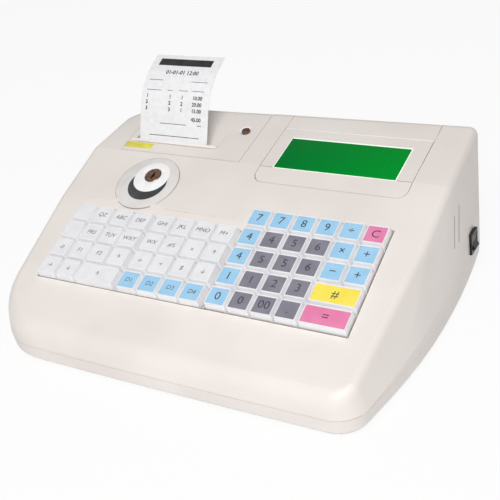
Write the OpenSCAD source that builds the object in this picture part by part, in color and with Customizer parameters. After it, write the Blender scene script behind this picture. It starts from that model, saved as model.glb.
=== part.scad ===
// Ticket register: a small desk-top billing till with a keyboard, a display and a receipt printer.
// Origin: middle of the base at the level of the feet. +X is the operator's right, +Y the rear, +Z up.

/* [Case] */
// Width across the bowed sides at the parting line
case_w = 286; // [283:0.5:290]
// Depth of the case at the parting line
case_d = 212.5; // [212:0.5:222]
// Height of the parting line between the cover and the base
part_z = 12.5; // [12:0.5:13.5]
// How far the sides bow out from the front corners to their middle
side_bow = 9.5; // [7:0.5:11]
// How far the sides bow out from the rear corners to their middle
rear_bow = 6.5; // [5:0.5:8]
// How far the front and the rear bow out between the corners
end_bow = 0.7; // [0.5:0.1:1.5]
// Radius of the rear corners seen from above
corner_r = 14; // [12:1:18]
// Radius of the front right corner seen from above
right_corner_r = 19; // [16:1:20]
// Radius of the rounder front left corner seen from above
left_corner_r = 44; // [40:1:50]
// Wall thickness of the cover, the lid and the base
wall = 2.5; // [2.2:0.1:2.8]
// Tuck-in of the base from the parting line down to its lower edge
base_tuck = 0.6; // [0.4:0.1:1.2]
// Size of the base's rounded lower edge
base_edge = 1.6; // [1:0.2:2.4]
// Height of the crease along the sides, above the middle of the base
ridge_z = 22.8; // [22:0.2:24]
// Rise of that crease towards the rear, per millimetre of depth
ridge_rise = 0.11; // [0.09:0.01:0.12]
// Height of the rubber feet
foot_h = 2.5; // [2:0.5:4]
// Radius of a rubber foot
foot_r = 8; // [6:1:10]
// Radius along the upper side edges
edge_r = 5.5; // [4:0.5:7]
// Radius of the front upper edge
front_r = 14; // [10:0.5:15]
// Radius seen from above of the front right corner where it meets the deck
top_right_r = 15.5; // [15:0.5:18]
// Radius seen from above of the front left corner where it meets the deck
top_left_r = 40; // [34:1:42]
// Radius of the rear upper edge behind the printer cover
rear_r = 11; // [9:0.5:11.5]
// Radius of the rear upper edge at the right end
rear_right_r = 5.5; // [5.5:0.5:8]
// Radius of the rear upper edge at the left end
rear_left_r = 24; // [14:1:26]

/* [Deck] */
// Slope of the keyboard deck
deck_tilt = 20; // [18:0.5:21]
// Height of the deck surface above the middle of the base
deck_z = 64; // [63:0.25:66]
// Depth of the flatter top, from its crease with the deck to the rear of the case
top_d = 63.45; // [62.25:0.2:65.05]
// Slope of the top behind the crease
top_tilt = 12.5; // [11:0.5:13.5]

/* [Keys] */
// Key pitch across
pitch_x = 15.6; // [15.4:0.1:15.7]
// Key pitch up the slope
pitch_v = 15.5; // [15.4:0.1:15.7]
// Gap between neighbouring key caps at their base
key_gap = 0.45; // [0.35:0.05:0.6]
// Width of the flat top of a single cap
key_top = 13.4; // [12.8:0.1:13.8]
// Width of the recess for the legend insert
insert_w = 12.2; // [11:0.1:12.4]
// Depth of the recess for the legend insert
insert_deep = 0.5; // [0.3:0.1:0.8]
// Height of the cap top above the deck
key_proud = 4.5; // [3.5:0.5:5.5]
// Depth of the cap skirt below the deck
key_skirt = 3.5; // [3:0.25:3.75]
// Travel of a key
key_travel = 3; // [2:0.5:3]
// Side of the square key stem
stem_w = 6; // [5:0.5:7]
// Clearance round a stem in its guide
stem_gap = 0.3; // [0.2:0.05:0.4]
// Extra gap that splits the left block into two halves
block_gap = 2.05; // [1.8:0.05:2.6]
// Centre of the first left-hand key column
left_x = -101.9; // [-102.3:0.05:-101.7]
// Centre of the first right-hand key column
right_x = 27.56; // [27.3:0.01:28]
// Centre of the lowest left-hand key row above the front edge of the well
left_v = 7.7; // [7.6:0.05:8.2]
// Centre of the lowest right-hand key row above the front edge of the well
right_v = 8.1; // [7.9:0.05:8.2]
// Gap between the keys and the well's wall
well_gap = 0.6; // [0.4:0.1:1]
// Distance from the crease forward to the front edge of the key well
well_front = 110.2; // [108.8:0.2:111.2]
// Depth of the key guide plate below the deck
guide_deep = 7; // [6.9:0.1:7.5]
// Thickness of the guide plate
guide_t = 1.6; // [1.2:0.1:2]
// Height of the closed space between the guide plate and the dome mat
dome_room = 5; // [4.8:0.1:6]
// Thickness of the dome mat's sheet
mat_t = 1; // [0.8:0.1:1.5]
// Thickness of the circuit boards
board_t = 1.6; // [1.2:0.1:2]

/* [Printer cover] */
// Left side of the lid
lid_left = -110.25; // [-111.25:0.25:-109.25]
// Right side of the lid
lid_right = -12.25; // [-14:0.25:-10.5]
// Gap round the lid
lid_gap = 0.6; // [0.5:0.05:0.8]
// Radius of the hinge barrel
barrel_r = 3.2; // [2.8:0.1:3.4]
// Radius of the hinge pins
pin_r = 1.5; // [1.2:0.1:1.8]
// Running fit of pins and shafts in their bores
fit = 0.05; // [0.03:0.01:0.08]
// Width of the paper slot
slot_w = 69.8; // [66:0.2:72]
// Middle of the paper slot
slot_x = -70.55; // [-71:0.05:-69.5]
// Lean of the paper from upright where it leaves the slot
paper_lean = 21.7; // [18:0.5:24]
// Depth of the slot's lower end below the surface of the top
slot_deep = 7.7; // [6.7:0.1:8.7]
// Gap on each side of the paper in its slot
slot_gap = 1.1; // [0.9:0.1:1.4]
// Distance from the slot to the rear end of the hollow behind it
hollow_back = 20.1; // [17.1:0.5:23.1]
// Latch centre across
latch_x = -23.25; // [-25:0.25:-22]
// Distance from the latch centre to the rear of the case
latch_back = 30.25; // [26.25:0.5:34.25]
// Radius of the latch head
latch_r = 3; // [2.5:0.25:4]

/* [Paper] */
// Width of the receipt paper
paper_w = 57.5; // [55:0.5:60]
// Middle of the paper
paper_x = -73.45; // [-74:0.05:-73]
// Thickness of the paper sheet
paper_t = 0.3; // [0.2:0.05:0.4]
// Bend radius of the hanging receipt
paper_bend = 45; // [35:1:60]
// Radius of the paper roll
roll_r = 21; // [15:1:21]
// Radius of the bore of the roll's core
core_r = 6.25; // [5.5:0.25:7]

/* [Display] */
// Left side of the display bezel
bezel_left = 5.25; // [4:0.25:7]
// Width of the display bezel to the right of its opening
bezel_rim = 12; // [10.25:0.25:13.25]
// Distance from the crease forward to the front edge of the display bezel
bezel_front = 13.3; // [11.8:0.5:14.8]
// Corner radius of the display bezel
bezel_r = 7; // [4:0.5:9]
// Gap round the display bezel
bezel_gap = 0.3; // [0.2:0.05:0.5]
// Width of the display opening
view_w = 84.5; // [80:0.5:88]
// Height of the display opening along the slope
view_h = 31.4; // [28:0.2:33]
// Left side of the display opening
view_x = 15.25; // [14:0.25:17]
// Thickness of the clear window
window_t = 1.5; // [1:0.25:2]

/* [Lock and switch] */
// Centre of the lock ring across
ring_x = -69.85; // [-72:0.05:-68]
// Centre of the lock ring up the slope from the well's front edge
ring_v = 88.6; // [88:0.2:90]
// Outer radius of the lock ring
ring_r = 20.8; // [18:0.2:21]
// Centre of the lock up the slope from the well's front edge
lock_v = 96.4; // [94:0.2:98]
// Radius of the lock cylinder
lock_r = 6; // [5:0.25:7]
// Distance from the centre of the rocker switch to the rear of the case
switch_back = 38.75; // [36.25:0.5:40.25]
// Centre of the rocker switch above the feet
switch_z = 28; // [27:0.25:29]
// Height of the switch flange
switch_h = 14.5; // [14:0.5:16]
// Width of the switch flange
switch_w = 12; // [11:0.5:12.5]
// How far the switch flange stands out from the wall at its front end
switch_proud = 1.5; // [1:0.1:2]
// Half of the rocker's swing
rocker_tilt = 12; // [8:1:14]

/* [Hidden] */

// Colours
ivory = "#EDE6E1";
key_white = "#E6E6EA";
key_blue = "#8FC7EE";
key_grey = "#7B7A86";
key_pink = "#EE82B0";
key_yellow = "#FFE95E";
lcd_green = "#078A2E";
board_green = "#2F6B45";
metal = "#B9BCC0";
dark = "#2B2B2E";

// Case
thin = 0.01;
far = 130;
half_w = case_w / 2;
half_d = case_d / 2;
corner_steps = 16;
skirt_h = 30;
bow_steps = [for (i = [-4:4]) i / 5];
rear_right = [half_w - rear_bow - corner_r, half_d - end_bow - corner_r];
rear_left = [-rear_right[0], rear_right[1]];
front_right = [half_w - side_bow - right_corner_r, -half_d + end_bow + right_corner_r];
front_left = [-half_w + side_bow + left_corner_r, -half_d + end_bow + left_corner_r];
floor_z = foot_h;
floor_t = wall;
front_draft = 13.25;
front_lean = 1;
mid_draft = 6.7;
crease_draft = 6.6;
rear_draft = 8.5;
rear_left_draft = 12;
rear_lean = 1.5;
rear_wheel_y = half_d - rear_lean - rear_r;
right_wheel_y = half_d - rear_lean - rear_right_r;
left_wheel_y = half_d - 2 * rear_lean - rear_left_r;
inner_wheel_x = -half_w + 31.5;
lip_in = 0.8;
lip_t = 1.2;
lip_h = 4;
lip_up = 1.5;
foot_x = half_w - 34;
foot_y = half_d - 42;
foot_sink = 0.8;
post_r = 4.5;
screw_r = 1.5;
screw_head_r = 2.9;
screw_sink = 5;
screw_deep = 8;
post_front = [half_w - 33, half_d - 24];
post_rear = [half_w - 24, half_d - 16];
post_places = [
    [post_front[0], -post_front[1]], [-post_front[0], -post_front[1]],
    [post_rear[0], post_rear[1]], [-post_rear[0], post_rear[1]]];

// Surface heights of the sloping deck, the flatter top and their crease
crease_y = half_d - top_d;
function deck_at(y) = deck_z + tan(deck_tilt) * y;
crease_z = deck_at(crease_y);
function top_at(y) = crease_z + tan(top_tilt) * (y - crease_y);
// Centre of a ball or wheel of radius r that touches the deck or the top from below at depth y
function under_deck(y, r) = deck_at(y) - r / cos(deck_tilt);
function under_top(y, r) = top_at(y) - r / cos(top_tilt);

// Keys
key_w = pitch_x - key_gap;
key_d = pitch_v - key_gap;
key_h = key_proud + key_skirt;
key_shell = 1.2;
key_chamfer = 0.8;
left_cols = 8;
left_rows = 4;
right_cols = 6;
right_rows = 5;
split_col = 4;
well_y = crease_y - well_front;
well_x0 = left_x - key_w / 2 - well_gap;
well_x1 = right_x + (right_cols - 1) * pitch_x + key_w / 2 + well_gap;
well_step_x = (left_x + (left_cols - 1) * pitch_x + block_gap + key_w / 2 + right_x - key_w / 2) / 2;
well_left_v = left_v + (left_rows - 1) * pitch_v + key_d / 2 + well_gap;
well_right_v = right_v + (right_rows - 1) * pitch_v + key_d / 2 + well_gap;
rib_t = 1.4;
rib_deep = 1.5;
rim_t = 1.8;
frame_lip = 4;
stem_end = guide_deep + guide_t + 0.8;
mat_top = guide_deep + guide_t + dome_room;
dome_h = mat_top - stem_end - key_travel - 0.4;
dome_r = 3;
board_top = mat_top + mat_t;
function left_col_x(c) = left_x + c * pitch_x + (c >= split_col ? block_gap : 0);
function left_row_v(r) = left_v + (left_rows - r) * pitch_v;
function right_col_x(c) = right_x + (c - 1) * pitch_x;
function right_row_v(r) = right_v + (right_rows - r) * pitch_v;
// First column and width in keys of each left-hand key, row by row from the rear
left_layout = [
    [for (c = [0:7]) [c, 1]],
    [for (c = [0:7]) [c, 1]],
    [for (c = [0:7]) [c, 1]],
    [[0, 1], [1, 1], [2, 2], [4, 1], [5, 1], [6, 1], [7, 1]]];
function right_units(r, c) = (r >= 4 && c == 5) ? 2 : 1;
right_layout = [for (r = [1:5], c = [1:6]) if (c < 6 || r < 4) [r, c, right_units(r, c)]];

// Printer cover and its hinge
lid_front = crease_y + 1.2;
hinge_angle = 22;
hinge_arm = rear_r - barrel_r;
rear_wheel_z = under_top(rear_wheel_y, rear_r);
hinge_y = rear_wheel_y + hinge_arm * sin(hinge_angle);
hinge_z = rear_wheel_z + hinge_arm * cos(hinge_angle);
pin_len = 3;
lid_swing = barrel_r + 1.7;
boss_len = 5;
roll_room = 1.75;
platen_room = 10;
roll_y = half_d - wall - roll_room - roll_r;
platen_y = roll_y - roll_r - platen_room;
paper_exit_y = platen_y + 6.9;
hollow_y = paper_exit_y + hollow_back;
latch_y = half_d - latch_back;
paper_exit_z = top_at(paper_exit_y);
slot_z = paper_exit_z - slot_deep;
function paper_y(z) = paper_exit_y + (z - paper_exit_z) * tan(paper_lean);
hollow_wall = 1.6;
tear_t = 0.8;
tear_proud = 0.5;
paper_rise = 22;
paper_tail = 10;
paper_turn = 44;
paper_steps = 10;
latch_v = (latch_y - crease_y) / cos(top_tilt);
cam_len = 16;
cam_w = 5;
cam_t = 1.4;
cam_gap = 0.4;
cam_low = -wall - cam_gap - cam_t;
latch_sink = 1.2;
latch_shaft_r = 2;

// Printer mechanism
mech_half = paper_w / 2 + 2.25;
plate_t = 2;
frame_z = 20;
platen_z = 59;
platen_r = 6;
shaft_r = 2.5;
gear_teeth = 24;
pinion_teeth = 10;
tooth_module = 1;
tooth_root = 1.05;
tooth_tip = 0.75;
gear_w = 5;
gear_r = gear_teeth * tooth_module / 2;
pinion_r = pinion_teeth * tooth_module / 2;
motor_z = platen_z - gear_r - pinion_r;
motor_r = 10.5;
motor_len = 18;
motor_shaft_r = 1;
roll_z = 48;
frame_y0 = platen_y - 14;
frame_y1 = roll_y + 11;
spindle_r = 3.9;
head_y = platen_y + platen_r + 0.4;
head_t = 3.5;

// Display
bezel_y = crease_y - bezel_front;
bezel_right = view_x + view_w + bezel_rim;
bezel_rear = half_d - 5;
view_v = 0.4;
lip_v = view_v + view_h + 9.4;
window_gap = 0.15;
window_deep = 0.4;
panel_side = 7;
panel_t = 8;

// Slots in the right side, which lean to the rear: depth and height of the lower end, and length
side_slots = [[crease_y - 9.8, 42.2, 20], [crease_y - 1.6, 42, 23]];
side_slot_w = 1.6;
side_slot_lean = 25;

// Raised panel behind the left-hand keys
panel_x0 = -113.8;
panel_x1 = 8.8;
panel_v0 = 69.4;
panel_v1 = 98;
panel_h = 0.7;

// Lock and switch
ring_t = 1.4;
ring_h = 0.7;
lock_len = 21;
lock_wall = 2.2;
nut_h = 3.5;
flange_t = 2.2;
switch_y = half_d - switch_back;
seat_x = side_at(switch_y - switch_w / 2) + switch_proud - flange_t;
rocker_r = switch_h / 2 - 2.2;
rocker_x = seat_x + flange_t - 1.6;
rocker_w = switch_w - 4;
rocker_rise = 2.9;
rocker_dip = 1.3;
rocker_gap = 0.3;
rocker_pin_r = 1;

// Rear inlet
inlet_x = half_w - 63;
inlet_z = 31;
inlet_w = 27;
inlet_h = 15;
inlet_seat = half_d - 3.2;
inlet_deep = 12;

// Power supply in front of the inlet, and main board in front of the supply
supply_x1 = half_w - 37;
supply_x0 = supply_x1 - 76;
supply_y1 = inlet_seat - inlet_deep - 3.05;
supply_y0 = supply_y1 - 34;
supply_z = 8;
supply_h = 30;
board_x1 = supply_x1 - 8;
board_x0 = board_x1 - 122;
board_y1 = supply_y0 - 4;
board_y0 = board_y1 - 104;
board_z = 11;
board_post_in = 6;
board_posts_x = [board_x0 + board_post_in, board_x1 - board_post_in];
board_posts_y = [board_y0 + board_post_in, board_y1 - board_post_in];
sheet_t = 1.2;
vent_count = 7;
vent_pitch = 7;
vent_w = 3;

// ---------- frames and small shapes ----------

// Frame of the deck: origin on the well's front edge, Y up the slope, Z off the surface
module on_deck() {
    translate([0, well_y, deck_at(well_y)]) rotate([deck_tilt, 0, 0]) children();
}

// Frame of the flatter top: origin on the crease, Y up the slope, Z off the surface
module on_top() {
    translate([0, crease_y, crease_z]) rotate([top_tilt, 0, 0]) children();
}

// Rod along X between two places
module rod(x0, x1, y, z, r, fn = 48) {
    translate([x0, y, z]) rotate([0, 90, 0]) cylinder(h = x1 - x0, r = r, $fn = fn);
}

// Block between two corners
module block(a, b) {
    translate(a) cube(b - a);
}

// Profile drawn in Y and Z, pulled out along X
module pull_x(x0, x1) {
    translate([x0, 0, 0]) rotate([90, 0, 90]) linear_extrude(x1 - x0) children();
}

// ---------- case outline ----------

// Quarter circle about a corner's centre, from the angle a0 on
function corner_arc(centre, r, a0, inset) = [
    for (k = [0:corner_steps])
        let (a = a0 + 90 * k / corner_steps)
        centre + (r - inset) * [cos(a), sin(a)]];
// How far a side has come in at t, which runs from -1 at the front corner to 1 at the rear one
function bow_in(t) = (t < 0 ? side_bow : rear_bow) * t * t;
// Bowed side between two corners' centres: s is -1 for the left side and 1 for the right, and
// way is 1 where the points run to the rear
function side_arc(s, y0, y1, inset, way) = [
    for (t = bow_steps)
        [s * (half_w - bow_in(way * t) - inset), (y0 + y1) / 2 + t * (y1 - y0) / 2]];
// Bowed end between two corners' centres: s is -1 for the front and 1 for the rear
function end_arc(s, x0, x1, inset) = [
    for (t = bow_steps)
        [(x0 + x1) / 2 + t * (x1 - x0) / 2, s * (half_d - end_bow * t * t - inset)]];
function plan_points(inset) = concat(
    side_arc(1, front_right[1], rear_right[1], inset, 1), corner_arc(rear_right, corner_r, 0, inset),
    end_arc(1, rear_right[0], rear_left[0], inset), corner_arc(rear_left, corner_r, 90, inset),
    side_arc(-1, rear_left[1], front_left[1], inset, -1), corner_arc(front_left, left_corner_r, 180, inset),
    end_arc(-1, front_left[0], front_right[0], inset),
    corner_arc(front_right, right_corner_r, 270, inset));

// Half width of the case at depth y
function side_at(y) =
    let (mid = (front_right[1] + rear_right[1]) / 2, half = (rear_right[1] - front_right[1]) / 2)
    half_w - bow_in((y - mid) / half);

module plan_slab(z, h, inset) {
    translate([0, 0, z]) linear_extrude(h) polygon(plan_points(inset));
}

// Upright skirt below the crease of the sides, which rises towards the rear
module skirt(inset) {
    multmatrix([[1, 0, 0, 0], [0, 1, 0, 0], [0, ridge_rise, 1, ridge_z - skirt_h], [0, 0, 0, 1]])
        linear_extrude(skirt_h) polygon(plan_points(inset));
}

// Round end of a rolled edge that runs along X
module wheel(x, y, z, r, inset) {
    translate([x, y, z]) rotate([0, 90, 0]) rotate_extrude($fn = 48) intersection() {
        translate([r - edge_r, 0]) circle(edge_r - inset, $fn = 20);
        translate([0, -edge_r]) square([r, 2 * edge_r]);
    }
}

module ball(x, y, z, r, inset) {
    translate([x, y, z]) sphere(r - inset, $fn = 44);
}

// Outer form of the cover above the parting line, or its hollow when inset by the wall
module body_form(inset = 0) {
    drop = inset > 0 ? 1 : 0;
    crease_in = edge_r * sin((deck_tilt + top_tilt) / 2);
    crease_down = edge_r * cos((deck_tilt + top_tilt) / 2) / cos((deck_tilt - top_tilt) / 2);
    intersection() {
        hull() {
            skirt(inset);
            for (s = [-1, 1]) {
                corner = s > 0 ? top_right_r : top_left_r;
                for (a = [0:11.25:90]) {
                    r = edge_r + (front_r - edge_r) * sin(a);
                    x = half_w - front_draft - corner + (corner - r) * cos(a);
                    y = -half_d + front_lean + corner - (corner - r) * sin(a);
                    ball(s * x, y, under_deck(y, r), r, inset);
                }
                ball(s * (half_w - mid_draft - edge_r), 0, under_deck(0, edge_r), edge_r, inset);
                ball(s * (half_w - crease_draft - edge_r), crease_y + crease_in,
                    crease_z - crease_down, edge_r, inset);
            }
            wheel(half_w - rear_draft - edge_r, right_wheel_y,
                under_top(right_wheel_y, rear_right_r), rear_right_r, inset);
            wheel(inner_wheel_x, rear_wheel_y, rear_wheel_z, rear_r, inset);
            wheel(-half_w + rear_left_draft + edge_r, left_wheel_y,
                under_top(left_wheel_y, rear_left_r), rear_left_r, inset);
        }
        block([-half_w, -half_d, part_z - drop], [half_w, half_d, far]);
    }
}

// ---------- openings of the cover ----------

function well_points(grow) = [
    [well_x0 - grow, -grow], [well_x1 + grow, -grow],
    [well_x1 + grow, well_right_v + grow], [well_step_x - grow, well_right_v + grow],
    [well_step_x - grow, well_left_v + grow], [well_x0 - grow, well_left_v + grow]];

module well_prism(grow, low, high) {
    on_deck() translate([0, 0, low]) linear_extrude(high - low) polygon(well_points(grow));
}

module bezel_prism(grow) {
    w = bezel_right - bezel_left + 2 * grow;
    d = bezel_rear - bezel_y + 2 * grow;
    front = [for (i = [0:8]) let (a = 180 + 90 * i / 8)
        [bezel_r * cos(a) - w / 2 + bezel_r, bezel_r * sin(a) - d / 2 + bezel_r]];
    other = [for (i = [0:8]) let (a = 270 + 90 * i / 8)
        [bezel_r * cos(a) + w / 2 - bezel_r, bezel_r * sin(a) - d / 2 + bezel_r]];
    translate([(bezel_left + bezel_right) / 2, (bezel_y + bezel_rear) / 2, part_z + 20])
        linear_extrude(far) polygon(concat(front, other, [[w / 2, d / 2], [-w / 2, d / 2]]));
}

module lid_opening() {
    block([lid_left - lid_gap, lid_front - lid_gap, part_z + 30],
        [lid_right + lid_gap, hinge_y + lid_swing, far]);
}

module side_vents() {
    for (v = side_slots) translate([half_w - 14, v[0], v[1]]) rotate([-side_slot_lean, 0, 0])
        translate([0, -side_slot_w / 2, 0]) cube([20, side_slot_w, v[2]]);
}

module case_posts(radius, z0, z1) {
    for (p = post_places) translate([p[0], p[1], z0]) cylinder(h = z1 - z0, r = radius, $fn = 32);
}

// Solid pads that give the switch and the inlet a flat seat in the bowed walls
module wall_pads() {
    block([seat_x - 3.2, switch_y - switch_w / 2 - 2, switch_z - switch_h / 2 - 1],
        [half_w + 5, switch_y + switch_w / 2 + 2, switch_z + switch_h / 2 + 2]);
    block([inlet_x - inlet_w / 2 - 2, inlet_seat - 3, inlet_z - inlet_h / 2 - 2],
        [inlet_x + inlet_w / 2 + 2, half_d + 5, inlet_z + inlet_h / 2 + 2]);
}

module wall_cuts() {
    block([seat_x, switch_y - switch_w / 2 - 0.2, switch_z - switch_h / 2 - 0.2],
        [half_w + 5, switch_y + switch_w / 2 + 0.2, switch_z + switch_h / 2 + 0.2]);
    block([seat_x - 10, switch_y - switch_w / 2 + 0.5, switch_z - switch_h / 2 + 0.9],
        [half_w, switch_y + switch_w / 2 - 0.5, switch_z + switch_h / 2 - 0.9]);
    block([inlet_x - inlet_w / 2 - 0.2, inlet_seat, inlet_z - inlet_h / 2 - 0.2],
        [inlet_x + inlet_w / 2 + 0.2, half_d + 5, inlet_z + inlet_h / 2 + 0.2]);
    block([inlet_x - inlet_w / 2 + 1.8, inlet_seat - 10, inlet_z - inlet_h / 2 + 1.8],
        [inlet_x + inlet_w / 2 - 1.8, half_d, inlet_z + inlet_h / 2 - 1.8]);
}

module lock_ring() {
    on_deck() translate([ring_x, ring_v, -wall / 2]) difference() {
        cylinder(h = wall / 2 + ring_h, r = ring_r, $fn = 72);
        translate([0, 0, -1]) cylinder(h = 10, r = ring_r - ring_t, $fn = 72);
    }
}

// Raised panel between the left-hand keys and the top: highest along its front edge, fading out behind
module raised_panel() {
    on_deck() intersection() {
        translate([panel_x0, 0, 0]) rotate([90, 0, 90]) linear_extrude(panel_x1 - panel_x0) polygon([
            [panel_v0, -1], [panel_v0, 0], [panel_v0 + panel_h, panel_h], [panel_v1, 0], [panel_v1, -1]]);
        translate([0, panel_v1, 0]) rotate([90, 0, 0]) linear_extrude(panel_v1 - panel_v0) polygon([
            [panel_x0, -1], [panel_x0, 0], [panel_x0 + panel_h, panel_h],
            [panel_x1 - panel_h, panel_h], [panel_x1, 0], [panel_x1, -1]]);
        difference() {
            translate([panel_x0, panel_v0, -1]) cube([panel_x1 - panel_x0, panel_v1 - panel_v0, 3]);
            translate([ring_x, ring_v, -2]) cylinder(h = 6, r = ring_r, $fn = 72);
        }
    }
}

module hinge_bosses() {
    rod(lid_right + lid_gap, lid_right + lid_gap + boss_len, hinge_y, hinge_z, barrel_r);
    rod(lid_left - lid_gap - boss_len, lid_left - lid_gap, hinge_y, hinge_z, barrel_r);
}

// ---------- sub-parts ----------

module top_cover() {
    color(ivory) union() {
        difference() {
            intersection() {
                body_form();
                union() {
                    difference() {
                        block([-half_w - 5, -half_d - 5, part_z], [half_w + 5, half_d + 5, far]);
                        body_form(wall);
                    }
                    well_prism(rim_t, -guide_deep, 5);
                    case_posts(post_r, part_z, far);
                    wall_pads();
                    hinge_bosses();
                }
            }
            difference() {
                well_prism(0, -20, 20);
                on_deck() {
                    for (x = [left_col_x(split_col) - (pitch_x + block_gap) / 2, well_step_x])
                        block([x - rib_t / 2, -1, -guide_deep],
                            [x + rib_t / 2, well_left_v + 1, -rib_deep]);
                }
            }
            bezel_prism(bezel_gap);
            lid_opening();
            side_vents();
            wall_cuts();
            case_posts(screw_r + 0.1, part_z - 1, part_z + screw_deep + 1);
            rod(lid_left - lid_gap - pin_len - 0.4, lid_right + lid_gap + pin_len + 0.4,
                hinge_y, hinge_z, pin_r + fit);
            on_deck() translate([ring_x, lock_v, -10]) cylinder(h = 20, r = lock_r + 0.3, $fn = 48);
        }
        lock_ring();
        raised_panel();
    }
}

// Ring inside the case's outline between two insets
module plan_ring(z0, z1, outside, inside) {
    difference() {
        plan_slab(z0, z1 - z0, outside);
        plan_slab(z0 - 1, z1 - z0 + 2, inside);
    }
}

module base_pillar(x, y, top, radius) {
    translate([x, y, floor_z]) cylinder(h = top - floor_z, r = radius, $fn = 32);
}

module base_tray() {
    color(ivory) difference() {
        union() {
            difference() {
                hull() {
                    plan_slab(part_z - thin, thin, 0);
                    plan_slab(floor_z + base_edge, thin, base_tuck);
                    plan_slab(floor_z, thin, base_tuck + 0.7 * base_edge);
                }
                plan_slab(floor_z + floor_t, part_z, base_tuck + wall);
            }
            plan_ring(part_z - lip_h, part_z - lip_h / 4, wall - 0.3, wall + lip_in + lip_t);
            plan_ring(part_z - lip_h, part_z + lip_up, wall + lip_in, wall + lip_in + lip_t);
            case_posts(post_r, floor_z, part_z);
            for (s = [-1, 1], y = [frame_y0 + 8, frame_y1 - 8])
                base_pillar(paper_x + s * (mech_half - 4), y, frame_z, 4);
            for (x = board_posts_x, y = board_posts_y)
                base_pillar(x, y, board_z, 3.5);
            for (x = [supply_x0 + 6, supply_x1 - 6], y = [supply_y0 + 6, supply_y1 - 6])
                base_pillar(x, y, supply_z, 4);
        }
        case_posts(screw_head_r + 0.3, floor_z - 1, floor_z + screw_sink);
        case_posts(screw_r + 0.2, floor_z - 1, part_z + 1);
        for (s = [-1, 1], t = [-1, 1])
            translate([s * foot_x, t * foot_y, floor_z - 1])
                cylinder(h = 1 + foot_sink, r = foot_r + 0.1, $fn = 48);
        for (i = [0:vent_count - 1])
            block([supply_x0 + 8 + vent_pitch * i, supply_y0 + 12, floor_z - 1],
                [supply_x0 + 8 + vent_pitch * i + vent_w, supply_y1 - 12, floor_z + floor_t + 1]);
    }
}

module rubber_feet() {
    color(dark) for (s = [-1, 1], t = [-1, 1])
        translate([s * foot_x, t * foot_y, 0]) {
            cylinder(h = foot_sink, r1 = foot_r - foot_sink, r2 = foot_r, $fn = 48);
            translate([0, 0, foot_sink]) cylinder(h = foot_h, r = foot_r, $fn = 48);
        }
}

module case_screws() {
    head_z = floor_z + screw_sink - 2.2;
    color(metal) {
        difference() {
            case_posts(screw_head_r, head_z, floor_z + screw_sink);
            for (p = post_places)
                translate([p[0], p[1], head_z - 1]) {
                    block([-2, -0.4, 0], [2, 0.4, 2]);
                    block([-0.4, -2, 0], [0.4, 2, 2]);
                }
        }
        case_posts(screw_r, floor_z + screw_sink - 0.1, part_z + screw_deep);
    }
}

// Hollow behind the paper slot, in Y and Z; grow thickens it into the tray that forms it
module hollow_profile(grow) {
    y0 = paper_y(slot_z) - slot_gap;
    y1 = paper_y(slot_z) + slot_gap;
    high = top_at(hollow_y);
    polygon([
        [y0 - grow, slot_z - grow],
        [y1 + grow / 2, slot_z - grow],
        [hollow_y + grow, high - grow * 0.8],
        [hollow_y + grow, high + 6],
        [y0 - grow + (high + 6 - slot_z + grow) * tan(paper_lean), high + 6]]);
}

module printer_cover() {
    sx0 = slot_x - slot_w / 2;
    sx1 = slot_x + slot_w / 2;
    color(ivory) {
        difference() {
            intersection() {
                body_form();
                union() {
                    difference() {
                        block([lid_left, lid_front, part_z + 30], [lid_right, hinge_y, far]);
                        body_form(wall);
                    }
                    pull_x(sx0 - hollow_wall, sx1 + hollow_wall) hollow_profile(hollow_wall);
                }
            }
            pull_x(sx0, sx1) hollow_profile(0);
            pull_x(sx0, sx1) polygon([for (c = [[thin, -1], [thin, 1], [-4, 1], [-4, -1]])
                [paper_y(slot_z + min(c[0], 0)) + c[1] * slot_gap, slot_z + c[0]]]);
            on_top() translate([latch_x, latch_v, 0]) {
                translate([0, 0, -10]) cylinder(h = 20, r = latch_shaft_r + fit, $fn = 32);
                translate([0, 0, -latch_sink])
                    cylinder(h = 3, r1 = latch_r + 0.6, r2 = latch_r + 4, $fn = 48);
            }
        }
        rod(lid_left, lid_right, hinge_y, hinge_z, barrel_r);
        rod(lid_left - lid_gap - pin_len, lid_right + lid_gap + pin_len, hinge_y, hinge_z, pin_r);
    }
}

module cover_latch() {
    color("#8A6A5A") on_top() translate([latch_x, latch_v, 0]) {
        difference() {
            translate([0, 0, 0.15 - latch_sink]) cylinder(h = 1.65, r = latch_r, $fn = 48);
            block([-latch_r - 1, -0.45, -0.2], [latch_r + 1, 0.45, 1]);
        }
        translate([0, 0, cam_low])
            cylinder(h = 0.5 - latch_sink - cam_low, r = latch_shaft_r, $fn = 32);
        block([-cam_w / 2, -cam_len, cam_low], [cam_w / 2, cam_w / 2, cam_low + cam_t]);
    }
}

module tear_bar() {
    edge_y = paper_y(paper_exit_z) - slot_gap;
    teeth = 34;
    step = slot_w / teeth;
    color("#F4EFEA") intersection() {
        pull_x(slot_x - slot_w / 2, slot_x + slot_w / 2) polygon([
            [paper_y(slot_z + 2) - slot_gap, slot_z + 2],
            [paper_y(slot_z + 2) - slot_gap + tear_t, slot_z + 2],
            [edge_y + tear_t + 1, paper_exit_z + tear_proud + 2],
            [edge_y + 1, paper_exit_z + tear_proud + 2]]);
        translate([slot_x - slot_w / 2, 0, 0]) rotate([90, 0, 0]) translate([0, 0, -100])
            linear_extrude(100) polygon(concat(
                [[0, slot_z], [0, paper_exit_z + tear_proud - 0.8]],
                [for (i = [0:teeth - 1], h = [0, 1])
                    [(i + 0.5 * h + 0.25) * step, paper_exit_z + tear_proud - 0.8 * (1 - h)]],
                [[slot_w, paper_exit_z + tear_proud - 0.8], [slot_w, slot_z]]));
    }
}

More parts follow.
